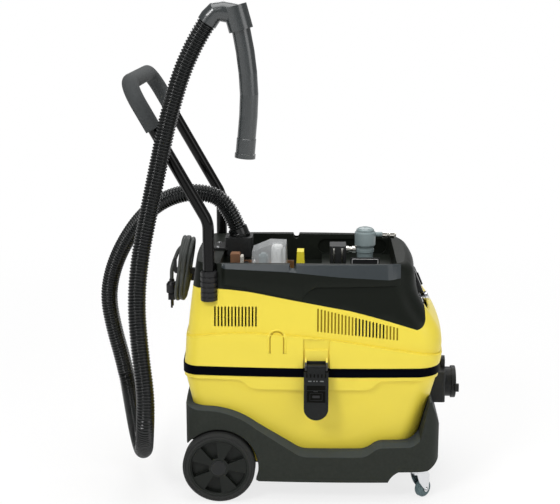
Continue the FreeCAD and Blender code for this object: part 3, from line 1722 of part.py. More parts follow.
gland = turned("Gland", [
    (0, 0),
    (9, 0),
    (9, 3),
    (S.cable_diameter / 2 + 1.2, 23),
    (0, 23),
])
place(gland, fore(S.gland_x), S.gland_y, S.gland_z, Rotation(Vector(1, 0, 0), 90))
gland_block = flat_plate("GlandBlock", rounded(
    fore(S.gland_x - 11), fore(-55), S.gland_y - 1, S.gland_y + 21, 6,
), S.gland_z - 11, S.gland_z + 11)
node(cut("GlandFitted", fused("GlandSolid", gland_block, gland), hull("GlandSeat")), "cable_gland")


# Cords: runs joined by tangent arcs, made as tubes of circles that keep their facing along the line


def run_and_arc_path(points):
    """Pieces of the centre line: ("run", start, end) and ("arc", centre, from, axis, angle, radius)."""
    pieces = []
    radii = []
    start = points[0]
    for before, corner, after in zip(points, points[1:], points[2:]):
        back = before - corner
        on = after - corner
        turn = math.pi - back.getAngle(on)
        reach = 0.45 * min(back.Length, on.Length)
        radius = reach / math.tan(turn / 2)
        radii.append(radius)
        enter = corner + back * (reach / back.Length)
        leave = corner + on * (reach / on.Length)
        middle = (enter + leave) / 2 - corner
        centre = corner + middle * (math.hypot(radius, reach) / middle.Length)
        axis = (corner - before).cross(after - corner)
        axis.normalize()
        pieces.append(("run", start, enter))
        pieces.append(("arc", centre, enter, axis, turn, radius))
        start = leave
    pieces.append(("run", start, points[-1]))
    return pieces, radii


def path_length(pieces):
    return sum(p[1].distanceToPoint(p[2]) if p[0] == "run" else p[4] * p[5] for p in pieces)


def place_on_path(pieces, distance):
    """Point and direction at a distance along the centre line."""
    for piece in pieces:
        if piece[0] == "run":
            length = piece[1].distanceToPoint(piece[2])
        else:
            length = piece[4] * piece[5]
        if distance <= length or piece is pieces[-1]:
            break
        distance -= length
    if piece[0] == "run":
        direction = piece[2] - piece[1]
        direction.normalize()
        return piece[1] + direction * distance, direction
    _, centre, enter, axis, _, radius = piece
    turned_by = Rotation(axis, math.degrees(distance / radius))
    spoke = turned_by.multVec(enter - centre)
    return centre + spoke, axis.cross(spoke).normalize()


def ring_frames(pieces, distances):
    """Point, direction and a steady cross direction at each distance."""
    frames = []
    cross = None
    for distance in distances:
        at, direction = place_on_path(pieces, distance)
        if cross is None:
            cross = direction.cross(Vector(0, 1, 0))
            if cross.Length < 0.2:
                cross = direction.cross(Vector(1, 0, 0))
        cross = cross - direction * cross.dot(direction)
        cross.normalize()
        frames.append((at, direction, cross))
    return frames


def ring_edge(frame, radius):
    at, direction, cross = frame
    circle = Part.Circle()
    circle.Center = at
    circle.Axis = direction
    circle.XAxis = cross
    circle.Radius = radius
    return Part.Wire([circle.toShape()])


def skin(frames, radii):
    return Part.makeLoft([ring_edge(f, r) for f, r in zip(frames, radii)], False, True).Faces


def hose_solid(pieces, outer, root, bore, rib_count):
    """A ribbed hose: plain ends one diameter long, ribs of four circles each between them, and its bore."""
    length = path_length(pieces)
    plain = 2 * outer
    pitch = (length - 2 * plain) / rib_count
    distances = [0]
    radii = [root]
    for i in range(rib_count):
        start = plain + i * pitch
        for part, radius in ((0.12, root), (0.3, outer), (0.7, outer), (0.88, root)):
            distances.append(start + part * pitch)
            radii.append(radius)
    distances.append(length)
    radii.append(root)
    outside = skin(ring_frames(pieces, distances), radii)
    inner_count = int(S.bore_rings.value)
    inner_frames = ring_frames(pieces, [length * i / inner_count for i in range(inner_count + 1)])
    inside = skin(inner_frames, [bore] * (inner_count + 1))
    ends = []
    for frame in (inner_frames[0], inner_frames[-1]):
        ends.append(Part.makeFace([ring_edge(frame, root), ring_edge(frame, bore)], "Part::FaceMakerBullseye"))
    shell = Part.makeShell(outside + inside + ends)
    shell.sewShape(0.001)
    solid = Part.Solid(Part.Shell(shell.Faces) if shell.ShapeType != "Shell" else shell)
    if solid.Volume < 0:
        solid.reverse()
    return solid


def tube_solid(pieces, radius, spacing):
    length = path_length(pieces)
    count = max(2, int(length / spacing))
    frames = ring_frames(pieces, [length * i / count for i in range(count + 1)])
    sides = skin(frames, [radius] * (count + 1))
    ends = [Part.Face(ring_edge(frame, radius)) for frame in (frames[0], frames[-1])]
    shell = Part.makeShell(sides + ends)
    shell.sewShape(0.001)
    solid = Part.Solid(shell)
    if solid.Volume < 0:
        solid.reverse()
    return solid


def cord_feature(name, solid):
    made = doc.addObject("Part::Feature", name)
    made.Shape = solid
    return place(made)


def route(*points):
    return [Vector(fore(x).value, y, z) for x, y, z in points]


HOSE_ROUTE = route(
    (31.2, 0, 577.9), (5.6, 0, 644.3), (-56, 3, 661), (-112, 10, 651), (-160, 22, 624), (-203, 34, 580),
    (-243, 47, 518), (-269, 56, 456), (-280, 60, 392), (-268, 60, 318), (-250, 60, 245), (-238, 60, 181),
    (-205, -31, 92), (-170, -159, 92), (-152, -250, 181), (-148, -250, 262), (-160, -238, 356),
    (-168, -225, 456), (-160, -214, 552), (-140, -207, 648), (-118, -205, 746), (-92, -205, 860),
    (-51, -205, 983), (-12, -205, 1042),
)
hose_pieces, hose_radii = run_and_arc_path(HOSE_ROUTE)
hose_outer = S.hose_diameter.value / 2
hose_bore = S.hose_bore.value / 2
hose = hose_solid(hose_pieces, hose_outer, hose_outer - S.rib_depth.value, hose_bore, int(S.rib_count.value))
print("hose length", round(path_length(hose_pieces)), "smallest radius", round(min(hose_radii)))
print("hose radii", [round(r) for r in hose_radii])
node(cord_feature("Hose", hose), "hose")

WAND_ROUTE = route((57, -205, 1028), (62, -205, 1010), (75, -205, 903), (63, -205, 769))
wand_pieces, wand_radii = run_and_arc_path(WAND_ROUTE)
wand_length = path_length(wand_pieces)
wand_r = S.wand_diameter.value / 2
tip_bore = S.tip_bore.value / 2
tip_depth = S.tip_depth.value
WAND_STOPS = [
    (0, wand_r - 1, hose_bore),
    (wand_length - 41, wand_r - 1, hose_bore),
    (wand_length - 40, wand_r, hose_bore),
    (wand_length - tip_depth - 1, wand_r, hose_bore),
    (wand_length - tip_depth, wand_r, tip_bore),
    (wand_length - 10, wand_r, tip_bore),
    (wand_length - 9, wand_r + 1.5, tip_bore),
    (wand_length, wand_r + 1.5, tip_bore),
]


def hollow_bar(pieces, stops, spacing):
    """A bar along a path; each stop is (distance, outer radius, bore radius)."""
    length = path_length(pieces)
    count = max(2, int(length / spacing))
    distances = sorted({stop[0] for stop in stops} | {length * i / count for i in range(1, count)})
    outer = []
    inner = []
    for distance in distances:
        for before, after in zip(stops, stops[1:]):
            if before[0] <= distance <= after[0]:
                part = (distance - before[0]) / (after[0] - before[0])
                outer.append(before[1] + (after[1] - before[1]) * part)
                inner.append(before[2] + (after[2] - before[2]) * part)
                break
    frames = ring_frames(pieces, distances)
    ends = []
    for i in (0, -1):
        ends.append(Part.makeFace([ring_edge(frames[i], outer[i]), ring_edge(frames[i], inner[i])], "Part::FaceMakerBullseye"))
    shell = Part.makeShell(skin(frames, outer) + skin(frames, inner) + ends)
    shell.sewShape(0.001)
    solid = Part.Solid(shell)
    if solid.Volume < 0:
        solid.reverse()
    return solid


node(cord_feature("Wand", hollow_bar(wand_pieces, WAND_STOPS, 40)), "wand")


def along_line(name, radius, length, start, toward):
    """A cylinder from a point toward a direction given in X and Z."""
    made = rod(name, radius, length, *start)
    made.Placement = Placement(made.Placement.Base, Rotation(Vector(0, 0, 1), toward))
    return made


# Cuffs, their holder on the tray and the cable with its hank and plug

hose_start = hose_pieces[0][1]
hose_rise = hose_pieces[0][2] - hose_pieces[0][1]
hose_rise.normalize()
COLLAR_LENGTH = 16
collar_foot = hose_start - hose_rise * COLLAR_LENGTH
tray_cuff = turned("HoseCuff", [
    (0, 0),
    (21, 0),
    (21, 20),
    (23, 22),
    (23, 55),
    (22, 57),
    (0, 57),
])
place(tray_cuff, fore(S.cuff_x), 0, 512)
cuff_fitted = cut(
    "HoseCuffBored",
    fused("HoseCuffSolid", tray_cuff, along_line("CuffCollar", 22, COLLAR_LENGTH, collar_foot, hose_rise)),
    rod("CuffBore", S.hose_bore / 2, 54, fore(S.cuff_x), 0, 510),
    along_line("CollarBore", hose_bore, 40, collar_foot - hose_rise * 4, hose_rise),
)
node(cuff_fitted, "hose_cuff")
holder = cut(
    "HoseHolder",
    fused(
        "HolderSolid",
        flat_plate("HolderPlate", rounded(fore(-22), fore(12), -32, 32, 6), S.tray_rim_height, S.tray_rim_height + 5),
        flat_plate("HolderBlock", rounded(fore(5), fore(66), -30, 30, 10), S.tray_rim_height - 15, S.tray_rim_height + 28),
    ),
    rod("HolderBore", 23.3, 80, fore(S.cuff_x), 0, S.tray_rim_height - 30),
)
node(holder, "hose_holder")
holder_screws = []
for y in (-23, 23):
    screw = turned("HolderScrew", [(0, 0), (4.5, 0), (3.5, 2.6), (1.5, 2.6), (1.5, 1.2), (0, 1.2)])
    holder_screws.append(place(screw, fore(-12), y, S.tray_rim_height + 5))
node(together("HolderScrews", *holder_screws), "holder_screws")

wand_top = wand_pieces[0][1]
wand_up = wand_pieces[0][1] - wand_pieces[0][2]
ELBOW_ROUTE = route((-12, -205, 1042), (5, -205, 1067.7), (46, -205, 1060))
elbow_pieces, elbow_radii = run_and_arc_path(ELBOW_ROUTE)
print("wand length", round(wand_length), "radii", [round(r) for r in wand_radii + elbow_radii])
wand_cuff = cut(
    "WandCuff",
    fused(
        "WandCuffSolid",
        along_line("CuffBarrel", 25, 50, wand_top, wand_up),
        cord_feature("CuffElbow", tube_solid(elbow_pieces, 20.5, 12)),
    ),
    along_line("CuffBoreDown", hose_bore, 36, wand_top, wand_up),
    cord_feature("CuffBoreAcross", tube_solid(elbow_pieces, hose_bore, 12)),
)
node(wand_cuff, "wand_cuff")

LEAD_ROUTE = route((-93, 74, 440), (-93, 44, 440))
lead_pieces, lead_radii = run_and_arc_path(LEAD_ROUTE)
cable_radius = S.cable_diameter.value / 2
print("lead length", round(path_length(lead_pieces)), "straight, turns", len(lead_radii))
node(cord_feature("CableLead", tube_solid(lead_pieces, cable_radius, 9)), "cable_lead")

hank = new_body("CableHank")
waist = S.hank_lobe - 13.5
hank_outline = sketch(hank, "YZ", [
    (-S.hank_lobe, S.hook_height - 28, S.hank_lobe + 0.1),
    (S.hank_lobe, S.hook_height - 28),
    (waist, S.hook_height),
    (S.hank_lobe, S.hook_height + 28, S.hank_lobe + 0.1),
    (-S.hank_lobe, S.hook_height + 28),
    (-waist, S.hook_height),
], fore(S.hank_rear))
pad(hank, hank_outline, S.hank_thick)
hank_slot = box(
    "HankSlot",
    (fore(-130), fore(-50)),
    (-S.hook_half_width - 0.4, S.hook_half_width + 0.4),
    (S.hook_height - 12.4, S.hook_height + 8),
)
node(cut("HankSlotted", hank, hank_slot), "cable_hank")

plug = turned("PowerPlug", [
    (0, 0),
    (9, 0),
    (13, 3),
    (13, 22),
    (9, 28),
    (6, 30),
    (6, 34),
    (0, 34),
])
plug_block = flat_plate("PlugBlock", rounded(-8, 8, -12, 12, 3), -13, 0.5)
plug_prongs = [rod("PlugProng", 2.4, 19, 0, y, -32) for y in (-9.5, 9.5)]
plug_whole = fused("PowerPlugWhole", plug, plug_block, *plug_prongs)
node(place(plug_whole, fore(-124), 24, 417), "power_plug")
TAIL_ROUTE = route((-124, 24, 451), (-124, 24, 478), (-122, 26, 504), (-108, 29, 529))
tail_pieces, tail_radii = run_and_arc_path(TAIL_ROUTE)
print("tail length", round(path_length(tail_pieces)), "radii", [round(r) for r in tail_radii])
node(cord_feature("CableTail", tube_solid(tail_pieces, cable_radius, 9)), "cable_tail")

# Nothing is written unless every object is free of faults and every sub-part is a valid solid

doc.recompute()
faulty = [thing.Name for thing in doc.Objects if "Invalid" in thing.State or "Error" in thing.State]
for label, thing in NODES.items():
    if thing.Shape.isNull() or not thing.Shape.isValid() or not thing.Shape.Solids:
        faulty.append(label)
if faulty:
    raise RuntimeError("faulty objects: " + ", ".join(faulty))
os.makedirs("parts", exist_ok=True)
for label, thing in NODES.items():
    thing.Shape.exportStep("parts/" + label + ".step")
    print(label, round(thing.Shape.Volume))
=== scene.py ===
import math

import bmesh
import bpy
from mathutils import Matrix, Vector
from mathutils.bvhtree import BVHTree


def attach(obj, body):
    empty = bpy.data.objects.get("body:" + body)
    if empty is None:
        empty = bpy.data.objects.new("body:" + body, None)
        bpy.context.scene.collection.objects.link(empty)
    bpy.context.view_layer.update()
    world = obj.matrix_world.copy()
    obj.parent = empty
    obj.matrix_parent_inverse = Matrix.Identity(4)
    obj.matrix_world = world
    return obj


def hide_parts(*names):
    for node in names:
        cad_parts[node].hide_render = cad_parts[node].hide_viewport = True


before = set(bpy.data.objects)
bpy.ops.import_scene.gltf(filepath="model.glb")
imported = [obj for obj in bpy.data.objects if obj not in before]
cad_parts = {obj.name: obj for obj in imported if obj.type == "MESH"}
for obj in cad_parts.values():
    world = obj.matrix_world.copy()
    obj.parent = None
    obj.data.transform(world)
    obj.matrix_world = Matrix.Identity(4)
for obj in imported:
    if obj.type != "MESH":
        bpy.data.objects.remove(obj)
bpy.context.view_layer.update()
AXLE_X = -0.168
# The two sides of the machine and their signs along Y
HANDS = (("right", -1), ("left", 1))


def metres(millimetres):
    """Routes and added pieces are in millimetres below, lights, materials and cord radii in metres."""
    return millimetres / 1000


def fore(distance):
    """X in metres of a place measured in millimetres forward from the rear axle."""
    return AXLE_X + metres(distance)


# Camera and lights

LENS = 76.4
SENSOR_WIDTH = 36
CAMERA_PLACE = (AXLE_X + 0.2283, -2.627, 1.137)
DEGREES_DOWN = 13.15
DEGREES_LEFT = 2.2

camera_data = bpy.data.cameras.new("Camera")
camera = bpy.data.objects.new("Camera", camera_data)
bpy.context.scene.collection.objects.link(camera)
camera_data.sensor_fit = "HORIZONTAL"
camera_data.sensor_width = SENSOR_WIDTH
camera_data.lens = LENS
camera.location = CAMERA_PLACE
camera.rotation_euler = (math.radians(90 - DEGREES_DOWN), 0, math.radians(DEGREES_LEFT))
bpy.context.scene.camera = camera
bpy.context.scene.view_settings.view_transform = "Standard"


def area_light(name, place, aim, size, power):
    data = bpy.data.lights.new(name, "AREA")
    data.shape = "RECTANGLE"
    data.size, data.size_y = size
    data.energy = power
    lamp = bpy.data.objects.new(name, data)
    bpy.context.scene.collection.objects.link(lamp)
    lamp.location = place
    lamp.rotation_euler = (Vector(aim) - Vector(place)).to_track_quat("-Z", "Y").to_euler()


area_light("KeyLight", place=(-1.6, -2.4, 2.6), aim=(0, 0, 0.4), size=(0.9, 0.9), power=50)
area_light("FillLight", place=(2.4, -2.0, 1.6), aim=(0, 0, 0.4), size=(1.8, 1.8), power=20)
area_light("BackLight", place=(0.4, 2.2, 2.4), aim=(0, 0, 0.5), size=(2.4, 1.2), power=32)
area_light("TopLight", place=(0, -0.2, 3.0), aim=(0, 0, 0.3), size=(2.0, 2.0), power=40)

# Materials

# Sockets of the Mix node when it mixes colours
MIX_FACTOR = 0
MIX_FIRST = 6
MIX_SECOND = 7
MIX_RESULT = 2
# How far full relief lifts the grain of plastic and metal
GRAIN_LIFT = 0.0002


class Nodes:
    """Short calls for building one material's node tree."""

    def __init__(self, name):
        self.material = bpy.data.materials.new(name)
        self.material.use_nodes = True
        self.tree = self.material.node_tree
        self.shader = self.tree.nodes["Principled BSDF"]
        self.output = self.tree.nodes["Material Output"]

    def add(self, kind, **settings):
        made = self.tree.nodes.new(kind)
        for key, value in settings.items():
            setattr(made, key, value)
        return made

    def link(self, out, into):
        self.tree.links.new(out, into)

    def place(self):
        return self.add("ShaderNodeTexCoord").outputs["Object"]

    def height(self):
        """The height in the object's own metres."""
        spot = self.add("ShaderNodeSeparateXYZ")
        self.link(self.place(), spot.inputs[0])
        return spot.outputs["Z"]

    def scaled(self, scale):
        mapping = self.add("ShaderNodeMapping")
        mapping.inputs["Scale"].default_value = scale
        self.link(self.place(), mapping.inputs["Vector"])
        return mapping.outputs["Vector"]

    def noise(self, scale, detail, roughness=0.55, vector=None):
        made = self.add("ShaderNodeTexNoise")
        made.inputs["Scale"].default_value = scale
        made.inputs["Detail"].default_value = detail
        made.inputs["Roughness"].default_value = roughness
        self.link(vector or self.place(), made.inputs["Vector"])
        return made.outputs["Fac"]

    def ramp(self, value, low, high):
        """Turns values from low to high into 0 to 1."""
        made = self.add("ShaderNodeMapRange")
        made.inputs["From Min"].default_value = low
        made.inputs["From Max"].default_value = high
        self.link(value, made.inputs["Value"])
        return made.outputs["Result"]

    def between(self, value, low, high):
        """Turns values from 0 to 1 into low to high."""
        made = self.add("ShaderNodeMapRange")
        made.inputs["To Min"].default_value = low
        made.inputs["To Max"].default_value = high
        self.link(value, made.inputs["Value"])
        return made.outputs["Result"]

    def math(self, operation, a, b):
        made = self.add("ShaderNodeMath", operation=operation)
        for i, value in enumerate((a, b)):
            if isinstance(value, (int, float)):
                made.inputs[i].default_value = value
            else:
                self.link(value, made.inputs[i])
        return made.outputs[0]

    def mix(self, fac, a, b):
        made = self.add("ShaderNodeMix", data_type="RGBA")
        for index, value in ((MIX_FACTOR, fac), (MIX_FIRST, a), (MIX_SECOND, b)):
            socket = made.inputs[index]
            if isinstance(value, (tuple, list)):
                socket.default_value = tuple(value) + (1,) * (4 - len(value))
            elif isinstance(value, (int, float)):
                socket.default_value = value
            else:
                self.link(value, socket)
        return made.outputs[MIX_RESULT]

    def edges(self):
        """High along worn edges, low in hollows."""
        geometry = self.add("ShaderNodeNewGeometry")
        return self.ramp(geometry.outputs["Pointiness"], 0.505, 0.56)

    def bump(self, height, strength, distance, normal=None):
        made = self.add("ShaderNodeBump")
        made.inputs["Strength"].default_value = strength
        made.inputs["Distance"].default_value = distance
        self.link(height, made.inputs["Height"])
        if normal is not None:
            self.link(normal, made.inputs["Normal"])
        return made.outputs["Normal"]

    def rounded(self, radius):
        made = self.add("ShaderNodeBevel", samples=4)
        made.inputs["Radius"].default_value = radius
        return made.outputs["Normal"]

    def finish(self, colour, roughness, normal):
        """Links what the shader gets and gives the material."""
        self.link(colour, self.shader.inputs["Base Color"])
        self.link(roughness, self.shader.inputs["Roughness"])
        self.link(normal, self.shader.inputs["Normal"])
        return self.material


def times(colour, factor):
    """A colour made lighter or darker."""
    return tuple(min(1, c * factor) for c in colour)


def moulded(
    name, colour, roughness, grain=900, grain_depth=0.3, wear=0.3, vary=0.1, edge=0.0008, lighter=2.0,
    shine=0.35, dust_and_top_light=None,
):
    """Moulded plastic: fine grain, slow colour drift, slightly polished edges, painted light on faces
    turned up.
    """
    n = Nodes(name)
    n.shader.inputs["Specular IOR Level"].default_value = shine
    drift = n.noise(scale=9, detail=3)
    fine = n.noise(scale=grain, detail=2, roughness=0.6)
    base = n.mix(drift, times(colour, 1 - vary), times(colour, 1 + vary))
    worn = tuple(min(1, c * lighter + 0.004) for c in colour)
    scuffs = n.math("MULTIPLY", n.edges(), n.between(n.noise(scale=160, detail=3), 0, 2 * wear))
    finish = n.mix(scuffs, base, worn)
    # Faces turned up get a lighter colour: painted light from above.
    if dust_and_top_light:
        slope = n.add("ShaderNodeSeparateXYZ")
        n.link(n.add("ShaderNodeNewGeometry").outputs["Normal"], slope.inputs[0])
        facing_up = n.ramp(slope.outputs["Z"], 0.15, 0.6)
        painted_top_light = n.math("MULTIPLY", facing_up, n.between(n.noise(scale=50, detail=4), 0.75, 1))
        finish = n.mix(painted_top_light, finish, dust_and_top_light)
    gloss = n.between(n.noise(scale=40, detail=4), roughness * 0.88, min(1, roughness * 1.14))
    return n.finish(finish, gloss, n.bump(fine, grain_depth, GRAIN_LIFT, n.rounded(edge)))


def rubbery(name, colour, roughness, grain=1200, dust_and_top_light=0.1, edge=0.0006):
    """Rubber: dull, finely pitted, and a little dusty."""
    n = Nodes(name)
    n.shader.inputs["Specular IOR Level"].default_value = 0.3
    pits = n.noise(scale=grain, detail=3, roughness=0.7)
    clouds = n.noise(scale=14, detail=5, roughness=0.6)
    dusty = tuple(min(1, c + 0.03) for c in colour)
    finish = n.mix(n.math("MULTIPLY", clouds, dust_and_top_light * 4), colour, dusty)
    gloss = n.between(clouds, roughness - 0.08, min(1, roughness + 0.1))
    return n.finish(finish, gloss, n.bump(pits, 0.3, 0.0003, n.rounded(edge)))


def metal(name, colour, roughness, brushed=None):
    """Metal: plated and smooth, or brushed along an axis."""
    n = Nodes(name)
    n.shader.inputs["Metallic"].default_value = 1
    grain, depth = (420, 0.1) if brushed else (60, 0.03)
    lines = n.noise(scale=grain, detail=4, roughness=0.6, vector=n.scaled(brushed or (1, 1, 1)))
    smear = n.noise(scale=22, detail=4, roughness=0.6)
    finish = n.mix(smear, times(colour, 0.86), colour)
    gloss = n.between(lines, roughness * 0.7, roughness * 1.3)
    return n.finish(finish, gloss, n.bump(lines, depth, GRAIN_LIFT, n.rounded(0.0005)))


def paper(name):
    """Pleated paper: pale, dull and fibrous."""
    n = Nodes(name)
    n.shader.inputs["Roughness"].default_value = 0.9
    fibres = n.noise(scale=300, detail=6, roughness=0.75, vector=n.scaled((1, 1, 0.2)))
    n.link(n.mix(fibres, (0.70, 0.67, 0.58), (0.86, 0.84, 0.78)), n.shader.inputs["Base Color"])
    n.link(n.bump(fibres, 0.4, 0.0004), n.shader.inputs["Normal"])
    return n.material


CARD_BAND_LOW = 0.560


def card(name):
    """Printed card: a brown face with a pale band."""
    n = Nodes(name)
    band = n.math("GREATER_THAN", n.height(), CARD_BAND_LOW)
    fibres = n.noise(scale=240, detail=5, roughness=0.7)
    brown = n.mix(fibres, (0.27, 0.13, 0.07), (0.34, 0.18, 0.10))
    finish = n.mix(band, brown, (0.80, 0.79, 0.74))
    return n.finish(finish, n.between(fibres, 0.4, 0.6), n.bump(fibres, 0.12, 0.0003))


def clear(name):
    """Thin clear sheet, a little cloudy and wavy."""
    n = Nodes(name)
    n.shader.inputs["Transmission Weight"].default_value = 0.3
    n.shader.inputs["IOR"].default_value = 1.3
    n.shader.inputs["Alpha"].default_value = 0.42
    smear = n.noise(scale=30, detail=4)
    finish = n.mix(smear, (0.78, 0.82, 0.85), (0.98, 0.99, 0.99))
    waves = n.bump(n.noise(scale=60, detail=3), 0.2, 0.0008)
    return n.finish(finish, n.between(smear, 0.03, 0.14), waves)


YELLOW = (0.88, 0.715, 0.072)
KEEPER_PLATE_LOW = 0.3275


def latch_keeper(name):
    """The keeper's plate takes the cover's yellow, and its ears the latch's black."""
    n = Nodes(name)
    plate = n.math("GREATER_THAN", n.height(), KEEPER_PLATE_LOW)
    drift = n.noise(scale=9, detail=3)
    dark = n.mix(drift, (0.016, 0.017, 0.017), (0.019, 0.020, 0.020))
    yellow = n.mix(drift, times(YELLOW, 0.975), times(YELLOW, 1.025))
    gloss = n.between(n.noise(scale=40, detail=4), 0.33, 0.42)
    fine = n.noise(scale=1000, detail=2, roughness=0.6)
    grain = n.bump(fine, 0.15, GRAIN_LIFT, n.rounded(0.0010))
    return n.finish(n.mix(plate, dark, yellow), gloss, grain)


MATERIALS = {
    "yellow": moulded(
        "YellowShell", YELLOW, 0.36, grain=1100, grain_depth=0.10, wear=0.2, vary=0.025, edge=0.0012,
        lighter=1.05,
    ),
    # The chassis' faces turned up get a lighter colour: painted light from above.
    "chassis": moulded(
        "ChassisPlastic", (0.022, 0.025, 0.021), 0.55, grain=700, grain_depth=0.35, edge=0.0015,
        lighter=1.8, shine=0.1, dust_and_top_light=(0.060, 0.072, 0.082),
    ),
    "band": moulded(
        "SealBand", (0.0004, 0.0008, 0.0032), 0.5, grain=1200, grain_depth=0.2, wear=0.05, edge=0.001,
        lighter=1.5, shine=0.02,
    ),
    "tray": moulded(
        "TrayPlastic", (0.009, 0.011, 0.0085), 0.4, grain=700, grain_depth=0.4, edge=0.0012, shine=0.1,
    ),
    # The tray's plastic made lighter for the moulding's slanted band: painted light where it faces up.
    "rim": moulded("PaintedLitRim", (0.034, 0.041, 0.045), 0.3, grain=700, edge=0.0012, lighter=1.6),
    "dark": moulded("DarkPlastic", (0.017, 0.018, 0.018), 0.4, lighter=2.2, shine=0.2),
    "latch": moulded("LatchPlastic", (0.008, 0.009, 0.009), 0.35, lighter=2.2, shine=0.16),
    "knob": moulded(
        "KnobPlastic", (0.012, 0.012, 0.013), 0.3, grain=1200, grain_depth=0.15, lighter=2.2, shine=0.3,
    ),
    "wheel": moulded(
        "WheelPlastic", (0.011, 0.013, 0.011), 0.4, grain=800, grain_depth=0.2, vary=0.08, edge=0.001,
        shine=0.2,
    ),
    "unit": moulded(
        "UnitPlastic", (0.20, 0.25, 0.255), 0.3, grain_depth=0.2, vary=0.05, edge=0.001, lighter=1.3,
        shine=0.5,
    ),
    "white": moulded(
        "WhitePlastic", (0.78, 0.79, 0.78), 0.3, grain=1200, grain_depth=0.1, wear=0.1, vary=0.03,
        edge=0.0006, lighter=1.1,
    ),
    "motor": moulded("MotorPlastic", (0.10, 0.10, 0.11), 0.55, grain=700, edge=0.001, lighter=1.8),
    "wedge": moulded(
        "WedgePlastic", (0.80, 0.68, 0.04), 0.32, grain=1000, grain_depth=0.1, wear=0.2, vary=0.03,
        edge=0.001, lighter=1.05,
    ),
    "tyre": rubbery("TyreRubber", (0.012, 0.013, 0.012), 0.75, grain=900, dust_and_top_light=0.2, edge=0.001),
    "caster": rubbery("CasterTread", (0.10, 0.15, 0.16), 0.55, edge=0.0008),
    "sleeve": rubbery("SleeveRubber", (0.006, 0.006, 0.007), 0.3),
    "foam": rubbery("FoamGrip", (0.042, 0.046, 0.047), 0.9, grain=1700, dust_and_top_light=0.2, edge=0.001),
    "cable": rubbery("CableJacket", (0.055, 0.060, 0.056), 0.45, grain=1600, edge=0.0004),
    "plug": moulded(
        "PlugPlastic", (0.008, 0.008, 0.009), 0.3, grain=1200, grain_depth=0.15, edge=0.0006, shine=0.3,
    ),
    "steel": metal("BrushedSteel", (0.56, 0.57, 0.58), 0.34, brushed=(1, 14, 1)),
    "chrome": metal("Chrome", (0.78, 0.79, 0.81), 0.1),
    "nickel": metal("NickelPlate", (0.80, 0.78, 0.72), 0.22),
    "tube": moulded(
        "GlossTube", (0.003, 0.003, 0.003), 0.1, grain=300, grain_depth=0.04, wear=0.1, edge=0.0005,
        lighter=1.5, shine=0.2,
    ),
    "wand": moulded(
        "WandPlastic", (0.019, 0.024, 0.025), 0.26, grain=300, grain_depth=0.05, wear=0.15, edge=0.0005,
        lighter=1.6, shine=1.0,
    ),
    "hose": moulded(
        "HosePlastic", (0.002, 0.003, 0.003), 0.18, grain=500, grain_depth=0.08, wear=0.1, edge=0.0004,
        lighter=1.5, shine=0.4,
    ),
    # Near-black for the latch's window and the gaps between its ridges: painted shade.
    "groove": moulded(
        "GrooveShade", (0.004, 0.004, 0.003), 0.9, grain_depth=0.2, wear=0.1, edge=0.0002, lighter=1.2,
        shine=0.1,
    ),
    # Darker yellow for the crease inside each cover arch: painted shade.
    "crease": moulded(
        "ShadedCreaseYellow", (0.44, 0.30, 0.018), 0.5, grain_depth=0.1, wear=0.1, edge=0.0002, lighter=1.1,
        shine=0.2,
    ),
    # Dark yellow-brown for the blind vents: painted shade.
    "shade": moulded(
        "ShadedYellow", (0.24, 0.165, 0.008), 0.6, grain_depth=0.1, wear=0.1, edge=0.0002, lighter=1.2,
        shine=0.1,
    ),
    # Pale grey for the row of spots on each latch: painted highlights.
    "painted_highlight": moulded("PaintedHighlight", (0.16, 0.17, 0.17), 0.5, grain_depth=0.2, edge=0.0003, lighter=1.3),
    "keeper": latch_keeper("LatchKeeper"),
    "paper": paper("FilterPaper"),
    "card": card("PrintedCard"),
    "clear": clear("ClearSheet"),
}

NODE_MATERIALS = {
    "yellow": ["tub", "head_cover"],
    "keeper": ["latch_brackets"],
    "chassis": ["chassis"],
    "band": ["head_seal"],
    "tray": ["top_tray"],
    "wheel": ["wheel_right", "wheel_left"],
    "tyre": ["tyre_right", "tyre_left"],
    "dark": [
        "hub_cap_right", "hub_cap_left", "inlet_housing", "inlet_cap", "front_panel", "socket_body",
        "hose_holder", "valve_box", "cable_hook",
    ],
    "latch": ["latch_lever_right", "latch_lever_left"],
    "steel": [
        "rear_axle", "latch_pins", "socket_lid_pin", "unit_screws", "holder_screws", "caster_axle_right",
        "caster_axle_left",
    ],
    "chrome": ["caster_plates", "caster_fork_right", "caster_fork_left", "air_coupling"],
    "caster": ["caster_wheel_right", "caster_wheel_left"],
    "tube": ["handle_tube"],
    "wand": ["wand", "wand_cuff"],
    "plug": ["power_plug"],
    "foam": ["handle_grip"],
    "sleeve": ["handle_sleeves", "cable_gland"],
    "motor": ["motor_plate", "motor_housing", "fan_impeller"],
    "paper": ["filter_cartridge"],
    "unit": ["air_unit", "regulator_knob"],
    "knob": ["power_switch", "suction_dial", "socket_lid"],
    "nickel": ["valve_fittings", "air_couplers"],
    "clear": ["accessory_blister"],
    "card": ["accessory_card"],
    "wedge": ["accessory_wedge"],
    "hose": ["hose", "hose_cuff"],
    "cable": ["cable_lead", "cable_hank", "cable_tail"],
}
for key, names in NODE_MATERIALS.items():
    for name in names:
        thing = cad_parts[name]
        thing.data.materials.clear()
        thing.data.materials.append(MATERIALS[key])

# Floor and background: both look white, and the floor keeps most of the object's shadow

FLOOR_SIZE = 30
FLOOR_WHITE = 0.78
SHADOW_NEAR = 0.4
SHADOW_FAR = 2.6
WORLD_LIGHT = 0.3


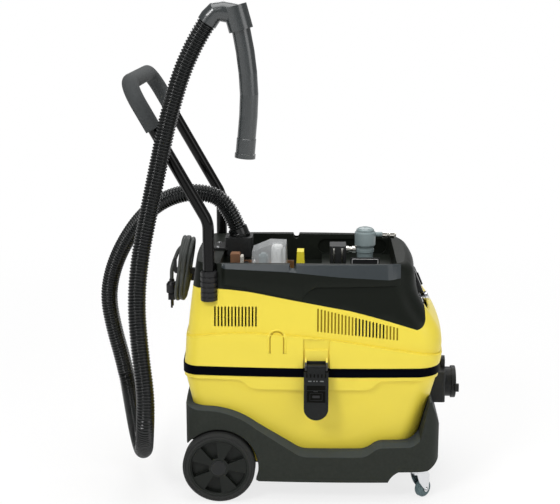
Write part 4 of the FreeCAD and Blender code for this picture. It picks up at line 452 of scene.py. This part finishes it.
def floor_material():
    """White as the camera, reflections and glass see it, mixed with a lit floor near the object."""
    n = Nodes("PaleFloor")
    n.shader.inputs["Roughness"].default_value = 0.9
    n.shader.inputs["Base Color"].default_value = (0.95, 0.95, 0.95, 1)
    path = n.add("ShaderNodeLightPath")
    distance = n.add("ShaderNodeVectorMath", operation="LENGTH")
    n.link(n.place(), distance.inputs[0])
    level = n.add("ShaderNodeMapRange", interpolation_type="SMOOTHSTEP")
    level.inputs["From Min"].default_value = SHADOW_NEAR
    level.inputs["From Max"].default_value = SHADOW_FAR
    level.inputs["To Min"].default_value = FLOOR_WHITE
    level.inputs["To Max"].default_value = 1
    n.link(distance.outputs["Value"], level.inputs["Value"])
    seen = n.math("MAXIMUM", path.outputs["Is Camera Ray"], path.outputs["Is Glossy Ray"])
    seen = n.math("MAXIMUM", seen, path.outputs["Is Transmission Ray"])
    white = n.add("ShaderNodeEmission")
    white.inputs["Strength"].default_value = 1
    blend = n.add("ShaderNodeMixShader")
    n.link(n.math("MULTIPLY", seen, level.outputs["Result"]), blend.inputs[0])
    n.link(n.shader.outputs[0], blend.inputs[1])
    n.link(white.outputs[0], blend.inputs[2])
    n.link(blend.outputs[0], n.output.inputs["Surface"])
    return n.material


bpy.ops.mesh.primitive_plane_add(size=FLOOR_SIZE, location=(0, 0, 0))
floor = bpy.context.object
floor.name = "Floor"
floor.data.materials.append(floor_material())

world = bpy.data.worlds.new("World")
bpy.context.scene.world = world
world.use_nodes = True
background = world.node_tree.nodes["Background"]
background.inputs["Color"].default_value = (1, 1, 1, 1)
world_path = world.node_tree.nodes.new("ShaderNodeLightPath")
world_level = world.node_tree.nodes.new("ShaderNodeMapRange")
world_level.inputs["To Min"].default_value = WORLD_LIGHT
world_level.inputs["To Max"].default_value = 1
world.node_tree.links.new(world_path.outputs["Is Camera Ray"], world_level.inputs["Value"])
world.node_tree.links.new(world_level.outputs["Result"], background.inputs["Strength"])

# Helpers that make pieces

RAY_START = 0.4


def link_object(name, data):
    made = bpy.data.objects.new(name, data)
    bpy.context.scene.collection.objects.link(made)
    return made


def mesh_object(name, bm):
    mesh = bpy.data.meshes.new(name)
    bm.to_mesh(mesh)
    bm.free()
    return link_object(name, mesh)


def dressed(piece, material, body):
    """Gives a piece its material and lets it ride on its body."""
    piece.data.materials.append(MATERIALS[material])
    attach(piece, body)
    return piece


def finished(name, bm, material, body):
    """Makes a dressed piece from its mesh."""
    bmesh.ops.recalc_face_normals(bm, faces=bm.faces)
    return dressed(mesh_object(name, bm), material, body)


def walls_between(bm, rings):
    """Faces from each ring of points to the next one, in the order of their points."""
    faces = []
    for a, b in zip(rings, rings[1:]):
        for k in range(len(a)):
            after = (k + 1) % len(a)
            faces.append(bm.faces.new((a[k], a[after], b[after], b[k])))
    return faces


def bar(bm, x, y, z, soft):
    """A block between its low and high sides along each axis in millimetres, with softened edges."""
    made = bmesh.ops.create_cube(bm, size=1)["verts"]
    for vert in made:
        vert.co = Vector((
            fore((x[0] + x[1]) / 2 + vert.co.x * (x[1] - x[0])),
            metres((y[0] + y[1]) / 2 + vert.co.y * (y[1] - y[0])),
            metres((z[0] + z[1]) / 2 + vert.co.z * (z[1] - z[0])),
        ))
    edges = list({edge for vert in made for edge in vert.link_edges})
    bmesh.ops.bevel(bm, geom=edges, offset=metres(soft), segments=2, affect="EDGES")


def swept(name, line, radii, sides):
    """A round tube along a line with a radius at each point, closed at both ends."""
    bm = bmesh.new()
    cross = None
    rings = []
    for i, point in enumerate(line):
        direction = (line[min(i + 1, len(line) - 1)] - line[max(i - 1, 0)]).normalized()
        if cross is None:
            cross = direction.orthogonal()
        cross = (cross - direction * cross.dot(direction)).normalized()
        side = direction.cross(cross)
        ring = []
        for k in range(sides):
            angle = 2 * math.pi * k / sides
            out = cross * math.cos(angle) + side * math.sin(angle)
            ring.append(bm.verts.new(point + out * radii[i]))
        rings.append(ring)
    walls_between(bm, rings)
    bm.faces.new(list(reversed(rings[0])))
    bm.faces.new(rings[-1])
    for face in bm.faces:
        face.smooth = True
    return mesh_object(name, bm)


def surface_of(name):
    """The surface of a carried-over node, to lay pieces on."""
    bm = bmesh.new()
    bm.from_mesh(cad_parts[name].data)
    tree = BVHTree.FromBMesh(bm)
    bm.free()
    return tree


def met_from_side(surface, side, x, z):
    """Where a level ray from beside the machine meets a surface, x and z in millimetres, or None."""
    start = Vector((fore(x), side * RAY_START, metres(z)))
    return surface.ray_cast(start, Vector((0, -side, 0)))[0]


def height_on(line, x):
    """The height of a line of points at a distance forward."""
    for (xa, za), (xb, zb) in zip(line, line[1:]):
        if x <= xb:
            return za + (zb - za) * (x - xa) / (xb - xa)
    return line[-1][1]


def in_metres(points):
    """Route points in millimetres, measured forward from the rear axle, in the frame's metres."""
    return [(fore(x), metres(y), metres(z)) for x, y, z in points]


def spline_points(points):
    """The points of the NURBS line that these control points give."""
    data = bpy.data.curves.new("Route", "CURVE")
    data.dimensions = "3D"
    data.resolution_u = 16
    spline = data.splines.new("NURBS")
    spline.points.add(len(points) - 1)
    for spot, point in zip(spline.points, points):
        spot.co = (*point, 1)
    spline.order_u = 3
    spline.use_endpoint_u = True
    holder = link_object("Route", data)
    bpy.context.view_layer.update()
    mesh = bpy.data.meshes.new_from_object(holder)
    line = [vertex.co.copy() for vertex in mesh.vertices]
    bpy.data.objects.remove(holder)
    bpy.data.meshes.remove(mesh)
    return line


def evenly(line, count):
    """Points at even distances along a line, and the line's length."""
    lengths = [0.0]
    for a, b in zip(line, line[1:]):
        lengths.append(lengths[-1] + (b - a).length)
    made = []
    at = 0
    for i in range(count + 1):
        goal = lengths[-1] * i / count
        while at < len(line) - 2 and lengths[at + 1] < goal:
            at += 1
        span = lengths[at + 1] - lengths[at]
        made.append(line[at].lerp(line[at + 1], (goal - lengths[at]) / span if span else 0))
    return made, lengths[-1]


# Suction hose: from its cuff down behind the machine and up to the wand

HOSE_ROUTE = [
    (31.2, 0, 577.9), (5.6, 0, 644.3), (-56, 3, 661), (-112, 10, 651), (-160, 22, 624), (-203, 34, 580),
    (-243, 47, 518), (-269, 56, 456), (-280, 60, 392), (-268, 60, 318), (-250, 60, 245), (-238, 60, 181),
    (-205, -31, 92), (-170, -159, 92), (-152, -250, 181), (-148, -250, 262), (-160, -238, 356),
    (-168, -225, 456), (-160, -214, 552), (-140, -207, 648), (-118, -205, 746), (-92, -205, 860),
    (-51, -205, 983), (-12, -205, 1042),
]
HOSE_RADIUS = 0.0195
HOSE_SIDES = 36
RIBS = 300
RIB_DEPTH = 0.0026
RIB_SHAPE = [0.40, 0.78, 0.97, 1.0, 0.97, 0.78, 0.40, 0.12, 0.0, 0.12]

hose_line = spline_points(in_metres(HOSE_ROUTE))
hose_points, hose_length = evenly(hose_line, RIBS * len(RIB_SHAPE))
hose_radii = [
    HOSE_RADIUS - RIB_DEPTH * (1 - RIB_SHAPE[i % len(RIB_SHAPE)]) for i in range(len(hose_points))
]
hose = swept("suction_hose", hose_points, hose_radii, HOSE_SIDES)
hose.data.materials.append(MATERIALS["hose"])
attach(hose, "base")
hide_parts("hose")

# Mains cable: out of its gland, round the hank's turns over the hook, and down to the plug

LEAD_POINTS = [(-93, 74, 440), (-93, 62, 440), (-93, 44, 436), (-93, 22, 424)]
TAIL_POINTS = [
    (-107, 38, 520), (-114, 36, 504), (-120, 31, 488), (-123.5, 26, 474), (-124, 24, 462), (-124, 24, 451),
]
HANK_MIDDLE = 484
HANK_WIDTH = 42
HANK_HEIGHT = 70
HANK_LEAN = 0.15
LEAN_GROWS = 0.5
SLACK = 0.025
SLACK_PHASE = 2.4
HALF_TURN = [(0, -1), (0.45, -0.95), (0.82, -0.76), (0.98, -0.47), (0.90, -0.22), (0.76, 0)]
# Each station: how many turns so far, how far forward from the axle, and the size of the turn there
TURN_STATIONS = [
    (0, -93, 1), (0.7, -92, 1), (0.95, -81, 0.98), (1.9, -80, 0.98), (2.1, -89, 1.03), (2.9, -90, 1.03),
    (3.1, -99, 1.0), (3.7, -100, 1.0), (4.2, -94, 0.9), (4.9, -95, 0.9), (5.1, -85, 0.92),
    (5.9, -84, 0.92), (6.1, -77, 0.92), (6.25, -79, 0.92), (6.6, -97, 0.94),
]
CABLE_RADIUS = 0.0045
CABLE_SIDES = 16
CABLE_STEPS = 1100


def loop_shape():
    """One turn as fractions of its half width and half height, from its bottom round by the near side."""
    near = [(-y, z) for y, z in HALF_TURN] + [(-y, -z) for y, z in HALF_TURN[-2::-1]]
    far = [(-y, z) for y, z in near[-2:0:-1]]
    return near + far


def hank_points():
    """The turns in order; their place across the bundle and their size ease between stations."""
    shape = loop_shape()
    points = []
    for i in range(int(TURN_STATIONS[-1][0] * len(shape)) + 1):
        turn = i / len(shape)
        for before, after in zip(TURN_STATIONS, TURN_STATIONS[1:]):
            if before[0] <= turn <= after[0]:
                part = (turn - before[0]) / (after[0] - before[0])
                part = part * part * (3 - 2 * part)
                x = before[1] + (after[1] - before[1]) * part
                size = before[2] + (after[2] - before[2]) * part
                break
        y, z = shape[i % len(shape)]
        slack = 1 + SLACK * math.sin(SLACK_PHASE * int(turn) + 1)
        lean = HANK_LEAN * z * HANK_HEIGHT * min(1, turn / LEAN_GROWS)
        points.append((x + lean, y * HANK_WIDTH * size, HANK_MIDDLE + z * HANK_HEIGHT * size * slack))
    return points


cable_line = spline_points(in_metres(LEAD_POINTS + hank_points() + TAIL_POINTS))
cable_points, cable_length = evenly(cable_line, CABLE_STEPS)
cable = swept("mains_cable", cable_points, [CABLE_RADIUS] * len(cable_points), CABLE_SIDES)
cable.data.materials.append(MATERIALS["cable"])
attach(cable, "base")
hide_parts("cable_lead", "cable_hank", "cable_tail")

# Blind vents: the front grille's slots that don't go through the cover, drawn as strips of painted shade

VENT_PITCH = 7.4
VENT_WIDTH = 3.5
VENT_FIRST = 214
VENT_FOOT = 391
VENT_FOOT_FALL = 0.11
VENT_TOP = 440
VENT_TOP_FALL = 0.24
VENT_STEPS = 8
BLIND_VENTS = list(range(11)) + list(range(20, 24))
VENT_PROFILE = ((0, 0.15), (VENT_WIDTH, 0.15), (VENT_WIDTH, -1.2), (0, -1.2))

cover_surface = surface_of("head_cover")


def vent_shade_strips(name, side):
    """A thin strip of painted shade on the cover for each blind slot; its profile says how far along and
    how proud.
    """
    bm = bmesh.new()
    for i in BLIND_VENTS:
        x = VENT_FIRST + i * VENT_PITCH
        low = VENT_FOOT - VENT_FOOT_FALL * (x - VENT_FIRST)
        high = VENT_TOP - VENT_TOP_FALL * (x - VENT_FIRST)
        rows = []
        for k in range(VENT_STEPS + 1):
            row = []
            for along, proud in VENT_PROFILE:
                hit = met_from_side(cover_surface, side, x + along, low + (high - low) * k / VENT_STEPS)
                row.append(bm.verts.new((hit.x, hit.y + side * metres(proud), hit.z)))
            rows.append(row)
        walls_between(bm, rows)
        bm.faces.new(rows[0])
        bm.faces.new(rows[-1])
    finished(name, bm, "shade", "base")


for hand, side in HANDS:
    vent_shade_strips("vent_shade_strips_" + hand, side)

# Cover sides: the raised arch behind each latch, with a crease inside it, its darker yellow painted shade

ARCH_MIDDLE = 127.9
ARCH_FOOT = 343.5
ARCH_SPRING = 374.7
ARCH_LEG_STEPS = 8
ARCH_TOP_STEPS = 16
ARCH_SIDES = 16


def cover_arch(name, side, half_width, radius, sunk, material):
    """A round bead up one leg, round the top and down the other, its middle sunk below the cover."""
    rise = ARCH_SPRING - ARCH_FOOT
    leg = [(-half_width, ARCH_FOOT + rise * i / ARCH_LEG_STEPS) for i in range(ARCH_LEG_STEPS)]
    top = []
    for i in range(ARCH_TOP_STEPS + 1):
        angle = math.pi * i / ARCH_TOP_STEPS
        top.append((-half_width * math.cos(angle), ARCH_SPRING + half_width * math.sin(angle)))
    line = []
    for x, z in leg + top + [(-x, z) for x, z in reversed(leg)]:
        hit = met_from_side(cover_surface, side, ARCH_MIDDLE + x, z)
        line.append(Vector((hit.x, hit.y - side * metres(sunk), hit.z)))
    dressed(swept(name, line, [metres(radius)] * len(line), ARCH_SIDES), material, "base")


for hand, side in HANDS:
    cover_arch("cover_arch_" + hand, side, half_width=18.3, radius=2.8, sunk=1.3, material="yellow")
    cover_arch("cover_arch_crease_" + hand, side, half_width=14.5, radius=2.2, sunk=1.6, material="crease")

# Tray sides: the raised moulding under the rim, slanted at its top, with the plain panel sunk below
# its front half

RIM_LINE = [
    (8, 533.6), (153, 533.8), (154.5, 530), (156, 527), (159, 525.5), (163, 525.5), (166, 527),
    (167.5, 530), (169, 533.8), (376, 533.8), (392, 533.4),
]
BAND_LINE = [(8, 524), (60, 522.5), (150, 519.5), (263, 509), (369, 502.5), (392, 504)]
SKIRT_LINE = [
    (8, 488.5), (55, 483), (93, 475), (135, 467), (180, 459), (187, 469), (200, 481), (212, 486.5),
    (392, 489.5),
]
MOULDING_BACK = 8
MOULDING_FRONT = 392
MOULDING_STEP = 3
BACK_FADE = 8
FRONT_FADE = 26
LEAST_FADE = 0.03
FOOT_LIFT = 2
FOOT_GAIN = 3
FOOT_GAIN_BACK = 184
FOOT_GAIN_LENGTH = 30
PANEL_LIFT = 8
BEHIND_WALL = -1.0
LIT_RIM_FACES = 3
# The wall's place until a ray meets it, the nearest it can be to the middle, and the height up to
# which it is measured
WALL_START = 0.185
WALL_LEAST = 0.15
WALL_TOP = 531


def moulding_profile(x):
    """Heights and lifts from the wall, from the rim down to the foot and back up behind the wall."""
    top = height_on(RIM_LINE, x)
    band = height_on(BAND_LINE, x)
    low = height_on(SKIRT_LINE, x)
    middle = (band + low) / 2
    foot = FOOT_LIFT + FOOT_GAIN * max(0, min(1, (x - FOOT_GAIN_BACK) / FOOT_GAIN_LENGTH))
    return (
        (top, 0.2), (top - 1, 1.2), (band + 1.2, 8.6), (band, 9.0), (band - 1.2, 8.6),
        (middle, (PANEL_LIFT + foot) / 2 + 1), (low + 1, foot + 0.4), (low, foot - 0.4),
        (low, BEHIND_WALL), (middle, BEHIND_WALL), (top, BEHIND_WALL),
    )


def side_moulding(name, side, surface):
    """The moulding of one side; from its rim down to the band line it takes a lighter material, painted
    light on the slanted band.
    """
    bm = bmesh.new()
    columns = []
    walls = {}
    corners = {x for x, z in SKIRT_LINE + RIM_LINE if x > MOULDING_BACK}
    for x in sorted(corners.union(range(MOULDING_BACK, MOULDING_FRONT + 1, MOULDING_STEP))):
        column = []
        fade = min(1, (x - MOULDING_BACK) / BACK_FADE, (MOULDING_FRONT - x) / FRONT_FADE)
        for k, (z, lift) in enumerate(moulding_profile(x)):
            hit = met_from_side(surface, side, x, min(z, WALL_TOP))
            if hit is not None and side * hit.y > WALL_LEAST:
                walls[k] = hit.y
            if lift > 0:
                lift *= max(LEAST_FADE, fade)
            wall = walls.get(k, side * WALL_START)
            column.append(bm.verts.new((fore(x), wall + side * metres(lift), metres(z))))
        columns.append(column)
    # The faces from the rim down to the band line take the lighter material: painted light.
    for i, face in enumerate(walls_between(bm, columns)):
        face.material_index = 1 if i % len(columns[0]) < LIT_RIM_FACES else 0
    bm.faces.new(columns[0])
    bm.faces.new(columns[-1])
    finished(name, bm, "tray", "base").data.materials.append(MATERIALS["rim"])


tray_surface = surface_of("top_tray")
for hand, side in HANDS:
    side_moulding("tray_moulding_" + hand, side, tray_surface)

# Latches: grip ridges, the frames round the window, buttons, painted shade in the window and gaps, and a
# row of painted highlights

LATCH_X = 213
LATCH_FACE = 210
RIDGE_PITCH = 8
RIDGE_HEIGHTS = (297, 320)
GAP_HEIGHTS = (296, 321)
WINDOW_HEIGHTS = (239, 278)
# Where the painted highlights sit on the latch: their heights, and their spans from its middle
HIGHLIGHT_HEIGHTS = (286.8, 289.2)
HIGHLIGHT_SPANS = ((-17, -10), (-6, -3), (0, 3), (8, 16))
# Frames round the window: width, low, top and thickness
WINDOW_FRAMES = ((44, 238, 268, 2), (28, 244, 262, 1.6))


def latch_bar(bm, side, x, z, proud, soft, sunk=1):
    """A block on a latch's face: x from the latch's middle, and how far it stands out and goes in."""
    face = sorted((side * (LATCH_FACE - sunk), side * (LATCH_FACE + proud)))
    bar(bm, (LATCH_X + x[0], LATCH_X + x[1]), face, z, soft)


def latch_face(name, side, body):
    """Ridges and frames on a latch, painted shade in the gaps and window, the buttons and a row of painted
    highlights.
    """
    relief = bmesh.new()
    for i in range(-2, 3):
        middle = RIDGE_PITCH * i
        latch_bar(relief, side, (middle - 2, middle + 2), RIDGE_HEIGHTS, proud=1.9, soft=0.9)
    for wide, low, top, thick in WINDOW_FRAMES:
        for x in (-wide / 2, wide / 2 - thick):
            latch_bar(relief, side, (x, x + thick), (low, top), proud=1, soft=0.5)
        for z in (low, top - thick):
            latch_bar(relief, side, (-wide / 2, wide / 2), (z, z + thick), proud=1, soft=0.5)
    finished(name, relief, "latch", body)
    # Near-black plates in the window and between the ridges: painted shade.
    hollows = bmesh.new()
    latch_bar(hollows, side, (-20, 20), WINDOW_HEIGHTS, proud=0.3, soft=0.25)
    for i in range(-3, 3):
        start = RIDGE_PITCH * i
        latch_bar(hollows, side, (start + 2.6, start + 5.4), GAP_HEIGHTS, proud=0.3, soft=0.25)
    finished(name + "_hollows", hollows, "groove", body)
    buttons = bmesh.new()
    latch_bar(buttons, side, (-6, 4), (264, 267), proud=1.6, soft=0.8)
    latch_bar(buttons, side, (-8, 8), (250, 256), proud=0.9, soft=0.5)
    finished(name + "_buttons", buttons, "knob", body)
    # A row of pale spots on the latch: painted highlights.
    painted_highlights = bmesh.new()
    for x in HIGHLIGHT_SPANS:
        latch_bar(painted_highlights, side, x, HIGHLIGHT_HEIGHTS, proud=0.35, soft=0.2, sunk=0.6)
    finished(name + "_marks", painted_highlights, "painted_highlight", body)


for hand, side in HANDS:
    latch_face("latch_face_" + hand, side, "latch_" + hand)

# Tray: a bare control plate with a pale frame, two boxes under the hose cuff, the brown one with a
# cream end, and what shows in the clear pack: a pale frame, a brush back and a nozzle

PLATE_FRAME_Y = (-112.4, -111.5)
# Each piece: name, material, slot and blocks, and each block: its x, y, z and how soft its edges are
TRAY_PIECES = [
    ("control_plate", "knob", "dark_plastic", [((285, 348), (-112, -109), (484.2, 538), 1.2)]),
    ("control_plate_frame", "white", "fitting_white", [
        ((288, 289.2), PLATE_FRAME_Y, (500, 535), 0.3),
        ((344, 345.2), PLATE_FRAME_Y, (500, 535), 0.3),
        ((288, 345.2), PLATE_FRAME_Y, (500, 501.2), 0.3),
        ((288, 345.2), PLATE_FRAME_Y, (533.8, 535), 0.3),
    ]),
    ("brown_box", "card", "card_brown", [((20, 41), (-72, -44), (470, 534), 1.5)]),
    ("cream_box_end", "paper", "card_brown", [((41.5, 48), (-71, -45), (470, 528), 1)]),
    ("dark_box", "knob", "dark_plastic", [((49, 60), (-70, -46), (470, 512), 2)]),
    ("pack_frame", "white", "fitting_white", [
        ((73, 77), (-99, -94), (474, 528), 1),
        ((138, 142), (-99, -94), (474, 556), 1),
        ((73, 100), (-99, -94), (474, 512), 1),
        ((112, 136), (-96, -60), (508, 556), 3),
    ]),
    ("pack_brush", "card", "card_brown", [((82, 134), (-90, -56), (480, 504), 4)]),
    ("pack_nozzle", "unit", "unit_grey", [((84, 104), (-90, -62), (512, 538), 4)]),
]
for name, material, slot, blocks in TRAY_PIECES:
    bm = bmesh.new()
    for x, y, z, soft in blocks:
        bar(bm, x, y, z, soft)
    finished(name, bm, material, "base")
